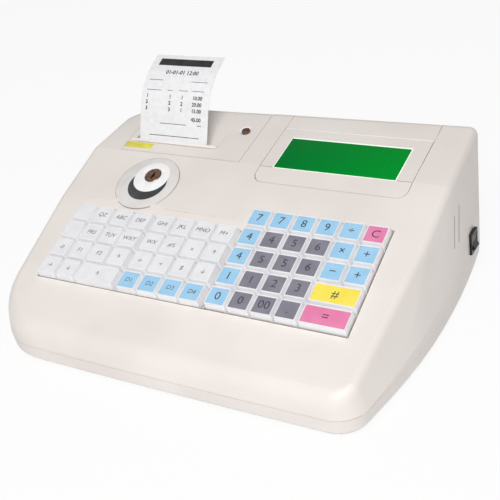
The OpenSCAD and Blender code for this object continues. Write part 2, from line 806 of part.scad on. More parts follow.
// Middle line of the receipt from below its slot to its free end
function receipt_line() = let (
    low = [paper_y(slot_z - 2.5), slot_z - 2.5],
    start = [paper_exit_y + paper_rise * sin(paper_lean), paper_exit_z + paper_rise * cos(paper_lean)],
    mid = start + paper_bend * [cos(paper_lean), -sin(paper_lean)],
    last = paper_lean + paper_turn,
    bend = [for (i = [0:paper_steps]) let (a = paper_lean + paper_turn * i / paper_steps)
        mid + paper_bend * [-cos(a), sin(a)]])
    concat([low], bend, [bend[paper_steps] + paper_tail * [sin(last), cos(last)]]);

module receipt() {
    line = receipt_line();
    n = len(line);
    normal = [for (i = [0:n - 1])
        let (a = line[max(i - 1, 0)], b = line[min(i + 1, n - 1)], d = b - a)
        [d[1], -d[0]] / norm(d) * paper_t / 2];
    color("#F4F4F4") pull_x(paper_x - paper_w / 2, paper_x + paper_w / 2)
        polygon(concat([for (i = [0:n - 1]) line[i] + normal[i]],
            [for (i = [n - 1:-1:0]) line[i] - normal[i]]));
}

module display_bezel() {
    color(ivory) difference() {
        union() {
            difference() {
                intersection() {
                    body_form();
                    bezel_prism(0);
                }
                body_form(wall);
            }
            on_top() for (x = [view_x - 4.5, view_x + view_w + 4.5])
                block([x - 2, 2, -wall - panel_t], [x + 2, view_h - 2, -wall]);
        }
        on_top() {
            block([view_x, view_v, -10], [view_x + view_w, view_v + view_h, 10]);
            block([bezel_left - 2, lip_v, -0.5], [bezel_right + 2, lip_v + 0.8, 3]);
        }
    }
}

module lcd_window() {
    color("#1C7A3A") on_top()
        block([view_x + window_gap, view_v + window_gap, -window_deep - window_t],
            [view_x + view_w - window_gap, view_v + view_h - window_gap, -window_deep]);
}

module lcd_panel() {
    low = -window_deep - window_t;
    color(lcd_green) on_top() {
        block([view_x + 1, view_v + 1, low - 1.4], [view_x + view_w - 1, view_v + view_h - 1, low]);
        block([view_x - 1.5, view_v - 4, -wall - panel_t],
            [view_x + view_w + 1.5, view_v + view_h + 4, low - 1.4]);
        block([view_x - panel_side, view_v - 8, -wall - panel_t - board_t],
            [view_x + view_w + panel_side, view_v + view_h + 8, -wall - panel_t]);
    }
}

module lock_body() {
    color(metal) on_deck() translate([ring_x, lock_v, 0]) difference() {
        union() {
            translate([0, 0, -wall - nut_h])
                cylinder(h = nut_h - 0.1, r = lock_r + lock_wall + 2.4, $fn = 6);
            translate([0, 0, -lock_len]) cylinder(h = lock_len - wall, r = lock_r + lock_wall, $fn = 48);
        }
        translate([0, 0, -lock_len - 1]) cylinder(h = 40, r = lock_r + fit, $fn = 48);
    }
}

module lock_cylinder() {
    color("#8A6A5A") on_deck() translate([ring_x, lock_v, 0]) difference() {
        union() {
            translate([0, 0, -lock_len]) cylinder(h = lock_len + 0.5, r = lock_r, $fn = 48);
            translate([0, 0, 0.5]) cylinder(h = 0.6, r1 = lock_r, r2 = lock_r - 0.6, $fn = 48);
        }
        translate([0, 0, -12]) cylinder(h = 20, r = 1.5, $fn = 24);
        block([-0.6, -3.2, -12], [0.6, 3.2, 5]);
        translate([0, 0, 0.9]) cylinder(h = 1, r1 = 3.4, r2 = 4.2, $fn = 48);
    }
}

module rocker_frame() {
    inner_w = rocker_w + 2 * rocker_gap;
    inner_h = 2 * (rocker_r + rocker_gap);
    color(dark) translate([0, switch_y, switch_z]) difference() {
        union() {
            block([seat_x, -switch_w / 2, -switch_h / 2],
                [seat_x + flange_t, switch_w / 2, switch_h / 2]);
            block([rocker_x - rocker_r - 3, -inner_w / 2 - 1, -inner_h / 2 - 0.8],
                [seat_x + 0.1, inner_w / 2 + 1, inner_h / 2 + 0.8]);
        }
        block([rocker_x - rocker_r - 1, -inner_w / 2, -inner_h / 2],
            [half_w + 5, inner_w / 2, inner_h / 2]);
        translate([rocker_x, -inner_w, 0]) rotate([-90, 0, 0])
            cylinder(h = 2 * inner_w, r = rocker_pin_r + fit, $fn = 24);
    }
}

module rocker() {
    color("#1B1B1D") translate([rocker_x, switch_y, switch_z]) rotate([0, -rocker_tilt, 0])
        rotate([90, 0, 0]) translate([0, 0, -rocker_w / 2]) {
            linear_extrude(rocker_w) intersection() {
                circle(rocker_r, $fn = 64);
                polygon([[-rocker_rise, -rocker_r - 1], [rocker_rise, -rocker_r - 1], [rocker_dip, 0],
                    [rocker_rise, rocker_r + 1], [-rocker_rise, rocker_r + 1]]);
            }
            translate([0, 0, -rocker_gap - 0.7])
                cylinder(h = rocker_w + 2 * rocker_gap + 1.4, r = rocker_pin_r, $fn = 24);
        }
}

// ---------- keyboard ----------

// Tapered block with chamfered corners, standing on its wider end
module taper(w, d, top_w, top_d, h, chamfer) {
    span = 2 * (w + d);
    diagonal = (w + d) / 2 - chamfer;
    top_diagonal = (top_w + top_d) / 2 - chamfer;
    intersection() {
        side_pair(0, w, top_w, h, span);
        side_pair(90, d, top_d, h, span);
        side_pair(45, diagonal * sqrt(2), top_diagonal * sqrt(2), h, span);
        side_pair(-45, diagonal * sqrt(2), top_diagonal * sqrt(2), h, span);
    }
}

// Wedge-sided bar that gives a tapered block two of its sides
module side_pair(turn, w, top_w, h, span) {
    rotate([0, 0, turn]) rotate([90, 0, 0]) translate([0, 0, -span / 2]) linear_extrude(span)
        polygon([[-w / 2, 0], [w / 2, 0], [top_w / 2, h], [-top_w / 2, h]]);
}

// Key cap: a tapered hollow cap with a recessed top, on a square stem
module key_cap(units) {
    extra = (units - 1) * pitch_x;
    w = key_w + extra;
    top_w = key_top + extra;
    translate([0, 0, -key_skirt]) difference() {
        taper(w, key_d, top_w, key_top, key_h, key_chamfer);
        block([-w / 2 + key_shell, -key_d / 2 + key_shell, -1],
            [w / 2 - key_shell, key_d / 2 - key_shell, key_h - 3]);
        block([-insert_w / 2 - extra / 2, -insert_w / 2 + 0.3, key_h - insert_deep],
            [insert_w / 2 + extra / 2, insert_w / 2 - 0.3, key_h + 1]);
    }
    block([-stem_w / 2, -stem_w / 2, -stem_end], [stem_w / 2, stem_w / 2, key_proud - 2.9]);
}

module left_key(r, c, units) {
    x = (left_col_x(c) + left_col_x(c + units - 1)) / 2;
    on_deck() translate([x, left_row_v(r), 0]) key_cap(units);
}

module left_keys(r) {
    for (k = left_layout[r - 1]) color(r == 4 && k[0] >= split_col ? key_blue : key_white)
        left_key(r, k[0], k[1]);
}

function right_colour(r, c) =
    (r == 1 && c == 6) || (r == 5 && c == 5) ? key_pink :
    r == 4 && c == 5 ? key_yellow :
    r > 1 && c > 1 && c < 5 ? key_grey : key_blue;

module right_key(r, c) {
    units = right_units(r, c);
    color(right_colour(r, c)) on_deck()
        translate([right_col_x(c) + (units - 1) * pitch_x / 2, right_row_v(r), 0]) key_cap(units);
}

// Places of all stems in the deck's frame
stem_places = concat(
    [for (r = [1:left_rows], k = left_layout[r - 1])
        [(left_col_x(k[0]) + left_col_x(k[0] + k[1] - 1)) / 2, left_row_v(r)]],
    [for (k = right_layout) [right_col_x(k[1]) + (k[2] - 1) * pitch_x / 2, right_row_v(k[0])]]);

module key_frame() {
    hole = stem_w + 2 * stem_gap;
    color("#3A3B3F") difference() {
        union() {
            well_prism(frame_lip, -guide_deep - guide_t, -guide_deep);
            difference() {
                well_prism(frame_lip, -mat_top, -guide_deep - guide_t);
                well_prism(frame_lip - rim_t, -mat_top - 1, -guide_deep);
            }
        }
        on_deck() for (p = stem_places)
            translate([p[0] - hole / 2, p[1] - hole / 2, -guide_deep - guide_t - 1])
                cube([hole, hole, guide_t + 2]);
    }
}

module key_mat() {
    color("#B7BDC4") {
        well_prism(frame_lip, -board_top, -mat_top);
        on_deck() for (p = stem_places)
            translate([p[0], p[1], -mat_top - thin]) cylinder(h = dome_h, r = dome_r, $fn = 24);
    }
}

module keyboard_board() {
    color(board_green) well_prism(frame_lip, -board_top - board_t, -board_top);
}

// ---------- boards and power ----------

module main_board() {
    color(board_green) {
        block([board_x0, board_y0, board_z], [board_x1, board_y1, board_z + board_t]);
        translate([board_x0, board_y0, board_z + board_t]) {
            block([30, 48, 0], [54, 72, 2]);
            block([68, 54, 0], [80, 78, 1.5]);
            block([4, 24, 0], [12, 66, 7]);
            block([94, 4, 0], [116, 12, 7]);
            translate([104, 84, 0]) cylinder(h = 12, r = 5, $fn = 32);
            translate([90, 86, 0]) cylinder(h = 9, r = 4, $fn = 32);
        }
    }
}

module power_supply() {
    x0 = supply_x0 + sheet_t;
    y0 = supply_y0 + sheet_t;
    y1 = supply_y1 - sheet_t;
    low = supply_z + sheet_t;
    high = supply_z + supply_h;
    color(metal) difference() {
        block([supply_x0, supply_y0, supply_z], [supply_x1, supply_y1, high]);
        block([x0, y0, low], [supply_x1 + 1, y1, high - sheet_t]);
        for (i = [0:7])
            block([supply_x0 + 10 + 8 * i, supply_y0 + 8, high - 3],
                [supply_x0 + 13 + 8 * i, supply_y1 - 8, high + 1]);
    }
    color(board_green) block([x0, y0, low], [supply_x1 - 2, y1, low + board_t]);
    color("#D9C25A") block([x0 + 23, y0 + 7, low + board_t], [x0 + 45, y1 - 5, high - 10]);
}

module power_inlet() {
    color(dark) translate([inlet_x, 0, inlet_z]) {
        difference() {
            union() {
                block([-inlet_w / 2, inlet_seat, -inlet_h / 2],
                    [inlet_w / 2, inlet_seat + 1.6, inlet_h / 2]);
                block([-inlet_w / 2 + 2, inlet_seat - inlet_deep, -inlet_h / 2 + 2],
                    [inlet_w / 2 - 2, inlet_seat + 0.1, inlet_h / 2 - 2]);
            }
            block([-inlet_w / 2 + 3.2, inlet_seat - inlet_deep + 1.5, -inlet_h / 2 + 3.2],
                [inlet_w / 2 - 3.2, inlet_seat + 5, inlet_h / 2 - 3.2]);
        }
        for (s = [-1, 1]) translate([s * 4.3, inlet_seat - inlet_deep + 1, 0]) rotate([-90, 0, 0])
            cylinder(h = inlet_deep - 2.5, r = 1.2, $fn = 24);
    }
}

// ---------- printer ----------

module printer_frame() {
    color(metal) {
        difference() {
            union() {
                block([paper_x - mech_half - plate_t, frame_y0, frame_z],
                    [paper_x + mech_half + plate_t, frame_y1, frame_z + plate_t]);
                for (x = [paper_x - mech_half - plate_t, paper_x + mech_half])
                    pull_x(x, x + plate_t) polygon([
                        [frame_y0, frame_z], [frame_y0, platen_z + 4], [platen_y - 8, platen_z + 8],
                        [platen_y + 8, platen_z + 8], [roll_y - 12, roll_z + 8],
                        [frame_y1, roll_z + 8], [frame_y1, frame_z]]);
            }
            rod(-200, 0, platen_y, platen_z, shaft_r + fit);
            rod(paper_x, 0, platen_y, motor_z, 4.3);
            rod(-200, 0, roll_y, roll_z, spindle_r + fit);
            block([-200, roll_y - spindle_r - fit, roll_z], [0, roll_y + spindle_r + fit, roll_z + 20]);
            rod(-200, 0, frame_y1 - 16, frame_z + 12, 6);
        }
        rod(paper_x - mech_half - plate_t, paper_x + mech_half + plate_t,
            roll_y, roll_z, spindle_r);
        rod(paper_x - 20, paper_x + 20, roll_y, roll_z, core_r - fit);
    }
}

module platen_roller() {
    color(dark) {
        rod(paper_x - paper_w / 2, paper_x + paper_w / 2, platen_y, platen_z, platen_r);
        rod(paper_x - mech_half - plate_t, paper_x + mech_half + plate_t + 1,
            platen_y, platen_z, shaft_r);
        rod(paper_x + mech_half + plate_t, paper_x + mech_half + plate_t + 1 + gear_w,
            platen_y, platen_z, 1.8);
    }
}

// Spur gear with straight-flanked teeth
module spur(teeth, width, bore, turn) {
    r = teeth * tooth_module / 2;
    low = r - tooth_root * tooth_module;
    high = r + tooth_tip * tooth_module;
    pitch = 360 / teeth;
    difference() {
        linear_extrude(width) rotate(turn) polygon([
            for (i = [0:teeth - 1], p = [[low, -0.24], [high, -0.1], [high, 0.1], [low, 0.24]])
                p[0] * [cos(pitch * (i + p[1])), sin(pitch * (i + p[1]))]]);
        translate([0, 0, -1]) cylinder(h = width + 2, r = bore, $fn = 32);
    }
}

module platen_gear() {
    x = paper_x + mech_half + plate_t + 1.1;
    color("#E8E4DC") translate([x, platen_y, platen_z]) rotate([90, 0, 90])
        spur(gear_teeth, gear_w, 1.82, -90);
}

module motor_pinion() {
    x = paper_x + mech_half + plate_t + 1.1;
    color("#C9A24B") translate([0, platen_y, motor_z]) {
        translate([x, 0, 0]) rotate([90, 0, 90]) spur(pinion_teeth, gear_w, 0.99, 90 + 180 / pinion_teeth);
        rod(paper_x + mech_half - 10, x + gear_w, 0, 0, motor_shaft_r, 32);
    }
}

module printer_motor() {
    x1 = paper_x + mech_half;
    color(metal) difference() {
        union() {
            rod(x1 - motor_len, x1, platen_y, motor_z, motor_r);
            rod(x1 - 0.1, x1 + plate_t, platen_y, motor_z, 4);
        }
        rod(x1 - 12, x1 + 20, platen_y, motor_z, motor_shaft_r + fit, 32);
    }
}

module thermal_head() {
    color("#3C3F45") {
        block([paper_x - mech_half, head_y, platen_z - 7],
            [paper_x + mech_half, head_y + head_t, platen_z + 7]);
    }
}

module paper_roll() {
    color("#F2F2F2") difference() {
        rod(paper_x - paper_w / 2, paper_x + paper_w / 2, roll_y, roll_z, roll_r, 96);
        rod(paper_x - paper_w / 2 - 1, paper_x + paper_w / 2 + 1, roll_y, roll_z, core_r);
    }
}

top_cover();
base_tray();
rubber_feet();
case_screws();
printer_cover();
cover_latch();
tear_bar();
receipt();
display_bezel();
lcd_window();
lcd_panel();
lock_body();
lock_cylinder();
rocker_frame();
rocker();
key_frame();
key_mat();
keyboard_board();
main_board();
power_supply();
power_inlet();
printer_frame();
platen_roller();
platen_gear();
printer_motor();
motor_pinion();
thermal_head();
paper_roll();
for (r = [1:left_rows]) left_keys(r);
for (k = right_layout) right_key(k[0], k[1]);
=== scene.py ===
# %% [markdown]
# # Ticket register
# A desk-top billing till: an ivory moulded case with two blocks of keys, a key lock, a green display
# and a receipt printer under a hinged cover. The rigid parts come ready from the frame. This lesson
# gives them their finishes, rounds off the mouldings, and adds the thin things that a CAD part leaves
# out: the inserts of the keys with their legends, the discs round the lock, the print and the films,
# and thin lines and strips of painted shade and painted highlight.

# %% Load the frame
import math
import bpy
import bmesh
from mathutils import Matrix, Vector


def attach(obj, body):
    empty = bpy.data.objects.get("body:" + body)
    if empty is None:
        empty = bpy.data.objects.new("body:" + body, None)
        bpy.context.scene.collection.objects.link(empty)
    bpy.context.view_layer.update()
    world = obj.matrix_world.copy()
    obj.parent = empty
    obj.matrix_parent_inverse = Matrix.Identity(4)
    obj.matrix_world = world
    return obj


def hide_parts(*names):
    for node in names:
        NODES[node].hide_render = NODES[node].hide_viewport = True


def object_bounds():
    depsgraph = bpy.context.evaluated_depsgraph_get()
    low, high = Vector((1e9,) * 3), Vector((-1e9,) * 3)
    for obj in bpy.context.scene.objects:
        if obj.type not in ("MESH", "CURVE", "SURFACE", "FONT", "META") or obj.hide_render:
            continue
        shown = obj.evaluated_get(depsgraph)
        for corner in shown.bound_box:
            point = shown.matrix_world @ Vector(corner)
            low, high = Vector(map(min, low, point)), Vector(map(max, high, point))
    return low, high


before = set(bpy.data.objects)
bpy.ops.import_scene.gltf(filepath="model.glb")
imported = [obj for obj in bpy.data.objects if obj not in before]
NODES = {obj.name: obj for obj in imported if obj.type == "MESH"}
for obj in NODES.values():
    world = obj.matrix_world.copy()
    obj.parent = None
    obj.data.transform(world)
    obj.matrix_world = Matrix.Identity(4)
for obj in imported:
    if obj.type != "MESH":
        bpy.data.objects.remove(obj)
CAD_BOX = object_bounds()
MM = 0.001
size_mm = [round(side / MM, 1) for side in CAD_BOX[1] - CAD_BOX[0]]
print("frame:", len(NODES), "nodes, size in mm", size_mm)

# %% [markdown]
# ## Camera
# The register is seen from the operator's right, a little above, through a fairly long lens, so
# that parallel edges stay nearly parallel. A camera could be aimed by two angles, but giving both the
# direction that it looks in and the one that lies level in its picture leaves no doubt about its roll.

# %% Place the camera
CAMERA_AT = Vector((0.30625, -0.4372, 0.3442))
LOOK = Vector((-0.48018, 0.72017, -0.50077)).normalized()
SIDEWAYS = Vector((0.86598, 0.48010, -0.13993)).normalized()
UPWARDS = SIDEWAYS.cross(LOOK).normalized()
FOCAL_LENGTH = 67.54
SENSOR_WIDTH = 36.0
lens = bpy.data.cameras.new("camera")
lens.lens = FOCAL_LENGTH
lens.sensor_width = SENSOR_WIDTH
camera = bpy.data.objects.new("camera", lens)
bpy.context.scene.collection.objects.link(camera)
facing = Matrix((SIDEWAYS, UPWARDS, -LOOK)).transposed().to_4x4()
camera.matrix_world = Matrix.Translation(CAMERA_AT) @ facing
bpy.context.scene.camera = camera
print("camera:", lens.lens, "mm lens, at", [round(v, 3) for v in CAMERA_AT])

# %% [markdown]
# ## Places on the case
# Two flat faces carry nearly everything: the sloping deck, and the flatter top behind the crease.
# Each gets a matrix whose X runs to the operator's right, Y up the slope and Z off the surface, so a
# key or a label is placed by two plain numbers in millimetres. The deck is measured from the front
# edge of the keyboard's well, and the top from the crease.

# %% Define the two faces
WELL_Y, WELL_Z, DECK_TILT = -67.4, 39.468, 20
CREASE_Y, CREASE_Z, TOP_TILT = 42.8, 79.578, 12.5


def face_frame(y, z, tilt):
    return Matrix.Translation((0, y * MM, z * MM)) @ Matrix.Rotation(math.radians(tilt), 4, "X")


def at(face, x, y, z=0.0):
    return face @ Matrix.Translation((x * MM, y * MM, z * MM))


DECK = face_frame(WELL_Y, WELL_Z, DECK_TILT)
TOP = face_frame(CREASE_Y, CREASE_Z, TOP_TILT)
print("the deck leans by", DECK_TILT, "degrees, the top by", TOP_TILT)

# %% [markdown]
# ## Helpers for materials
# Colours are picked as hex values, as a designer would, and turned into the linear numbers that the
# renderer works with. One small function adds any node with its settings and its links. Two more do
# what every surface here needs: its colour is never quite even, and its skin never quite flat.

# %% Define the material helpers
def linear(hex_colour):
    values = [int(hex_colour[i:i + 2], 16) / 255 for i in (1, 3, 5)]
    return tuple(v / 12.92 if v <= 0.04045 else ((v + 0.055) / 1.055) ** 2.4 for v in values) + (1.0,)


def add_node(tree, kind, settings=(), links=()):
    node = tree.nodes.new(kind)
    for name, value in dict(settings).items():
        if name in node.inputs:
            node.inputs[name].default_value = value
        else:
            setattr(node, name, value)
    for name, socket in dict(links).items():
        tree.links.new(socket, node.inputs[name])
    return node


def new_material(name, colour, roughness, **sockets):
    """A plain surface. A socket's name is written with _ for its spaces, such as Coat_Weight."""
    material = bpy.data.materials.new(name)
    material.use_nodes = True
    shader = material.node_tree.nodes["Principled BSDF"]
    shader.inputs["Base Color"].default_value = linear(colour)
    shader.inputs["Roughness"].default_value = roughness
    for socket, value in sockets.items():
        shader.inputs[socket.replace("_", " ")].default_value = value
    return material


def object_places(tree):
    return add_node(tree, "ShaderNodeTexCoord").outputs["Object"]


def mottle(material, darker, lighter, grain_mm, detail=2.0):
    """Lets the colour wander between two close tones, over patches of about grain_mm."""
    tree = material.node_tree
    settings = {"Scale": 1 / (grain_mm * MM), "Detail": detail}
    noise = add_node(tree, "ShaderNodeTexNoise", settings, {"Vector": object_places(tree)})
    ramp = add_node(tree, "ShaderNodeValToRGB", links={"Fac": noise.outputs["Fac"]})
    for end, (position, tone) in enumerate(((0.35, darker), (0.65, lighter))):
        ramp.color_ramp.elements[end].position = position
        ramp.color_ramp.elements[end].color = linear(tone)
    tree.links.new(ramp.outputs["Color"], tree.nodes["Principled BSDF"].inputs["Base Color"])


def texture_bump(material, grain_mm, depth_mm, strength, edge_mm=0.0):
    """Gives the surface a fine moulded grain, and can round its hard edges by edge_mm."""
    tree = material.node_tree
    settings = {"Scale": 1 / (grain_mm * MM), "Detail": 3.0}
    noise = add_node(tree, "ShaderNodeTexNoise", settings, {"Vector": object_places(tree)})
    relief = {"Strength": strength, "Distance": depth_mm * MM}
    bump = add_node(tree, "ShaderNodeBump", relief, {"Height": noise.outputs["Fac"]})
    if edge_mm:
        rounding = add_node(tree, "ShaderNodeBevel", {"Radius": edge_mm * MM, "samples": 4})
        tree.links.new(rounding.outputs["Normal"], bump.inputs["Normal"])
    tree.links.new(bump.outputs["Normal"], tree.nodes["Principled BSDF"].inputs["Normal"])


print("helpers ready")

# %% [markdown]
# ## Ivory ABS of the case
# The case is injection-moulded ABS in warm ivory. Its tool was spark-eroded, which leaves a fine
# grain of about half a millimetre: it takes the shine off without making the plastic chalky. A
# faint mottle in patches of 60 mm stands for the slight yellowing that such cases get. The tear
# strip is the same plastic in a paler copy; its paler tone is painted light, so it reads as lit.

# %% Make the ivory ABS
def ivory_plastic(name, darker, lighter, edge_mm):
    material = new_material(name, lighter, 0.42, IOR=1.53)
    mottle(material, darker, lighter, 60)
    texture_bump(material, 0.5, 0.02, 0.25, edge_mm)
    return material


IVORY = ivory_plastic("moulded_ivory_abs", "#E9E1DB", "#EFE8E3", 0.6)
# The tear strip's paler copy of the ivory is painted light: it makes the strip read as brightly lit.
TEAR_ABS_PAINTED_LIGHT = ivory_plastic("tear_strip_abs_painted_light", "#F7F1EE", "#FCF8F5", 0.2)
print("ivory ready")

# %% [markdown]
# ## Materials of the small parts
# Each one starts from what the part is made of and how: turned or plated metal, moulded nylon,
# vulcanised rubber, laminate with solder mask, coated paper. Patterns are sized in millimetres.

# %% Make the plastics and the rubber
# Nylon comes from a polished tool: black, with a soft sheen.
BLACK_NYLON = new_material("moulded_black_nylon", "#161618", 0.38, IOR=1.53)
mottle(BLACK_NYLON, "#121214", "#1C1C1F", 3)
texture_bump(BLACK_NYLON, 0.4, 0.02, 0.3, 0.4)
# Rubber is dull and a little dusty.
RUBBER = new_material("vulcanised_black_rubber", "#232325", 0.75, IOR=1.5)
mottle(RUBBER, "#1E1E20", "#29292C", 2)
texture_bump(RUBBER, 0.3, 0.03, 0.5, 0.3)
# The guide plate between the keys is brown and matt. Its dark brown also paints the shade deep in
# the gaps, so the gaps between the caps read as dark lines.
DARK_ABS = new_material("moulded_dark_abs", "#4A3D34", 0.5, IOR=1.53)
mottle(DARK_ABS, "#43362D", "#50433A", 4)
texture_bump(DARK_ABS, 0.5, 0.02, 0.3, 0.3)
# Silicone is cloudy, and acetal is cut from a rod and keeps a waxy sheen.
SILICONE = new_material("moulded_silicone", "#B7BDC4", 0.6, IOR=1.41)
mottle(SILICONE, "#AFB5BC", "#BFC5CB", 5)
texture_bump(SILICONE, 0.8, 0.02, 0.3, 0.4)
ACETAL = new_material("cut_white_acetal", "#E8E4DC", 0.35, IOR=1.48)
mottle(ACETAL, "#E0DCD4", "#ECE8E0", 3)
texture_bump(ACETAL, 0.3, 0.01, 0.2)
# Key caps are glossier than the case. Their faint white glow is painted light, which brightens the
# shaded gaps between the caps.
KEY_WHITE = new_material("moulded_white_key_abs", "#E6E6EA", 0.34, IOR=1.53, Coat_Weight=0.15,
                         Emission_Color=linear("#FFFFFF"), Emission_Strength=0.05)
mottle(KEY_WHITE, "#EFEFF2", "#F6F6F8", 12)
texture_bump(KEY_WHITE, 0.4, 0.012, 0.2, 0.55)
print("plastics ready")

# %% Make the metals
# Zinc plating is pale and softly blurred, and turned brass is warm and brighter.
STEEL = new_material("zinc_plated_steel", "#B9BCC0", 0.34, Metallic=1.0)
mottle(STEEL, "#AEB2B7", "#C3C6CA", 6, 4.0)
texture_bump(STEEL, 0.6, 0.01, 0.3, 0.2)
BRASS = new_material("turned_brass", "#C9A24B", 0.3, Metallic=1.0)
mottle(BRASS, "#BE9843", "#D2AC57", 2)
texture_bump(BRASS, 0.2, 0.01, 0.2)
# The plating of the lock and the latch is blotchy, and duller than clean metal.
BRONZE = new_material("bronze_plated_zinc", "#8A6A5A", 0.32, Metallic=0.75)
mottle(BRONZE, "#745748", "#A07F6D", 1.6, 4.0)
texture_bump(BRONZE, 0.5, 0.03, 0.4, 0.25)
print("metals ready")

# %% [markdown]
# ## Circuit boards
# A board is glass laminate under green solder mask. Its copper tracks show as slightly lighter
# straight bands: a brick pattern of 3 mm by 1.5 mm gives such a layout without any drawing.

# %% Make the laminate
LAMINATE = new_material("solder_masked_laminate", "#2F6B45", 0.35, IOR=1.55)
tree = LAMINATE.node_tree
layout = {"Scale": 1 / (6 * MM), "Mortar Size": 0.02, "Mortar": linear("#4C8F63"),
          "Color1": linear("#2A6340"), "Color2": linear("#35754D")}
tracks = add_node(tree, "ShaderNodeTexBrick", layout, {"Vector": object_places(tree)})
tree.links.new(tracks.outputs["Color"], tree.nodes["Principled BSDF"].inputs["Base Color"])
texture_bump(LAMINATE, 0.8, 0.02, 0.3, 0.2)
print("laminate ready")

# %% [markdown]
# ## Thermal paper
# Thermal paper is smooth and bright on its coated face, with a faint fibre cloudiness.

# %% Make the paper
PAPER = new_material("coated_thermal_paper", "#F1F1F2", 0.55)
mottle(PAPER, "#ECECEE", "#F4F4F5", 4, 3.0)
texture_bump(PAPER, 0.3, 0.01, 0.2)
print("paper ready")

# %% [markdown]
# ## Display window
# The display is a backlit green character panel behind a flat acrylic window. The light falls off a
# little to the left. Its character cells, 3.6 mm wide and 6.2 mm high, stand out only just, as they
# do on such a panel while it shows nothing: a brick pattern without an offset draws them, and it is
# multiplied with the green. Round the panel a pale line glows: a painted highlight on the acrylic's edge.

# %% Make the display materials
LIT_FROM, LIT_TO = 15.0, 100.0
CELL_WIDTH, CELL_HEIGHT, CELL_GAP = 3.6, 6.2, 0.35
CELL_SHADE = (0.93, 0.93, 0.93, 1)
WINDOW = new_material("cast_green_acrylic", "#0A8A2F", 0.3, IOR=1.49, Specular_IOR_Level=0.03,
                      Emission_Strength=0.35)
tree = WINDOW.node_tree
shader = tree.nodes["Principled BSDF"]
places = object_places(tree)
axes = add_node(tree, "ShaderNodeSeparateXYZ", links={"Vector": places})
reach = {"From Min": LIT_FROM * MM, "From Max": LIT_TO * MM, "To Min": 0.0, "To Max": 1.0}
lit = add_node(tree, "ShaderNodeMapRange", reach, {"Value": axes.outputs["X"]})
ramp = add_node(tree, "ShaderNodeValToRGB", links={"Fac": lit.outputs["Result"]})
ramp.color_ramp.elements[0].color = linear("#016B2A")
ramp.color_ramp.elements[1].color = linear("#05822A")
grid = {"offset": 0.0, "squash": 1.0, "Scale": 1.0, "Mortar Smooth": 0.6, "Mortar": (1, 1, 1, 1),
        "Brick Width": CELL_WIDTH * MM, "Row Height": CELL_HEIGHT * MM, "Mortar Size": CELL_GAP * MM,
        "Color1": CELL_SHADE, "Color2": CELL_SHADE}
cells = add_node(tree, "ShaderNodeTexBrick", grid, {"Vector": places})
shade = add_node(tree, "ShaderNodeMix", {"data_type": "RGBA", "blend_type": "MULTIPLY"})
shade.inputs[0].default_value = 1.0
tree.links.new(ramp.outputs["Color"], shade.inputs[6])
tree.links.new(cells.outputs["Color"], shade.inputs[7])
tree.links.new(shade.outputs[2], shader.inputs["Base Color"])
tree.links.new(shade.outputs[2], shader.inputs["Emission Color"])
# A pale glowing line round the display: a painted highlight on the acrylic's edge.
PAINTED_EDGE_HIGHLIGHT = new_material("painted_highlight_on_acrylic", "#EEFBF0", 0.3, IOR=1.49,
                    Emission_Color=linear("#EEFBF0"), Emission_Strength=0.4)
mottle(PAINTED_EDGE_HIGHLIGHT, "#E6F7E9", "#F2FCF4", 3)
print("display materials ready")

# %% [markdown]
# ## Dressing the frame
# Every part of the frame gets the material that the real one is made of. Parts with a right shape
# stay as they are.

# %% Give each node its material
FINISH = {
    "rubber_feet": RUBBER, "case_screws": STEEL, "cover_latch": BRONZE, "tear_bar": TEAR_ABS_PAINTED_LIGHT,
    "receipt": PAPER, "lcd_window": WINDOW, "lcd_panel": LAMINATE, "lock_body": STEEL,
    "lock_cylinder": BRONZE, "rocker_frame": BLACK_NYLON, "rocker": BLACK_NYLON, "key_frame": DARK_ABS,
    "key_mat": SILICONE, "keyboard_board": LAMINATE, "main_board": LAMINATE, "power_supply": STEEL,
    "power_inlet": BLACK_NYLON, "printer_frame": STEEL, "platen_roller": RUBBER, "platen_gear": ACETAL,
    "printer_motor": STEEL, "motor_pinion": BRASS, "thermal_head": DARK_ABS, "paper_roll": PAPER}
for name, node in NODES.items():
    is_key = name.startswith(("key_r", "left_keys"))
    node.data.materials.clear()
    node.data.materials.append(KEY_WHITE if is_key else FINISH.get(name, IVORY))
print("dressed", len(NODES), "nodes")

# %% [markdown]
# ## Modelling helpers
# An operator works on whatever is selected, and a freshly loaded frame is selected as a whole. So
# each piece starts with an empty selection. A flat outline is thickened by extruding it, and a bevel
# takes the sharpness off its edges. A finished piece is moved to its place on the case, and that
# place is then applied to its mesh.

# %% Define the modelling helpers
SMOOTH_ANGLE = math.radians(35)


def select_only(*pieces):
    for other in bpy.context.selected_objects:
        other.select_set(False)
    for piece in pieces:
        piece.select_set(True)
    bpy.context.view_layer.objects.active = pieces[0] if pieces else None


def new_piece(name):
    piece = bpy.context.object
    piece.name = name
    piece.data.name = name
    return piece


def apply_modifiers(piece):
    select_only(piece)
    for modifier in list(piece.modifiers):
        bpy.ops.object.modifier_apply(modifier=modifier.name)


def bevelled(piece, width_mm, angle=30):
    edge = piece.modifiers.new("edge", "BEVEL")
    edge.width = width_mm * MM
    edge.segments = 2
    edge.limit_method = "ANGLE"
    edge.angle_limit = math.radians(angle)
    apply_modifiers(piece)


def faces_outward(piece):
    select_only(piece)
    bpy.ops.object.mode_set(mode="EDIT")
    bpy.ops.mesh.select_all(action="SELECT")
    bpy.ops.mesh.normals_make_consistent(inside=False)
    bpy.ops.object.mode_set(mode="OBJECT")


def thickened(piece, thickness_mm):
    select_only(piece)
    bpy.ops.object.mode_set(mode="EDIT")
    bpy.ops.mesh.select_all(action="SELECT")
    bpy.ops.mesh.extrude_region_move(TRANSFORM_OT_translate={"value": (0, 0, thickness_mm * MM)})
    bpy.ops.object.mode_set(mode="OBJECT")
    faces_outward(piece)


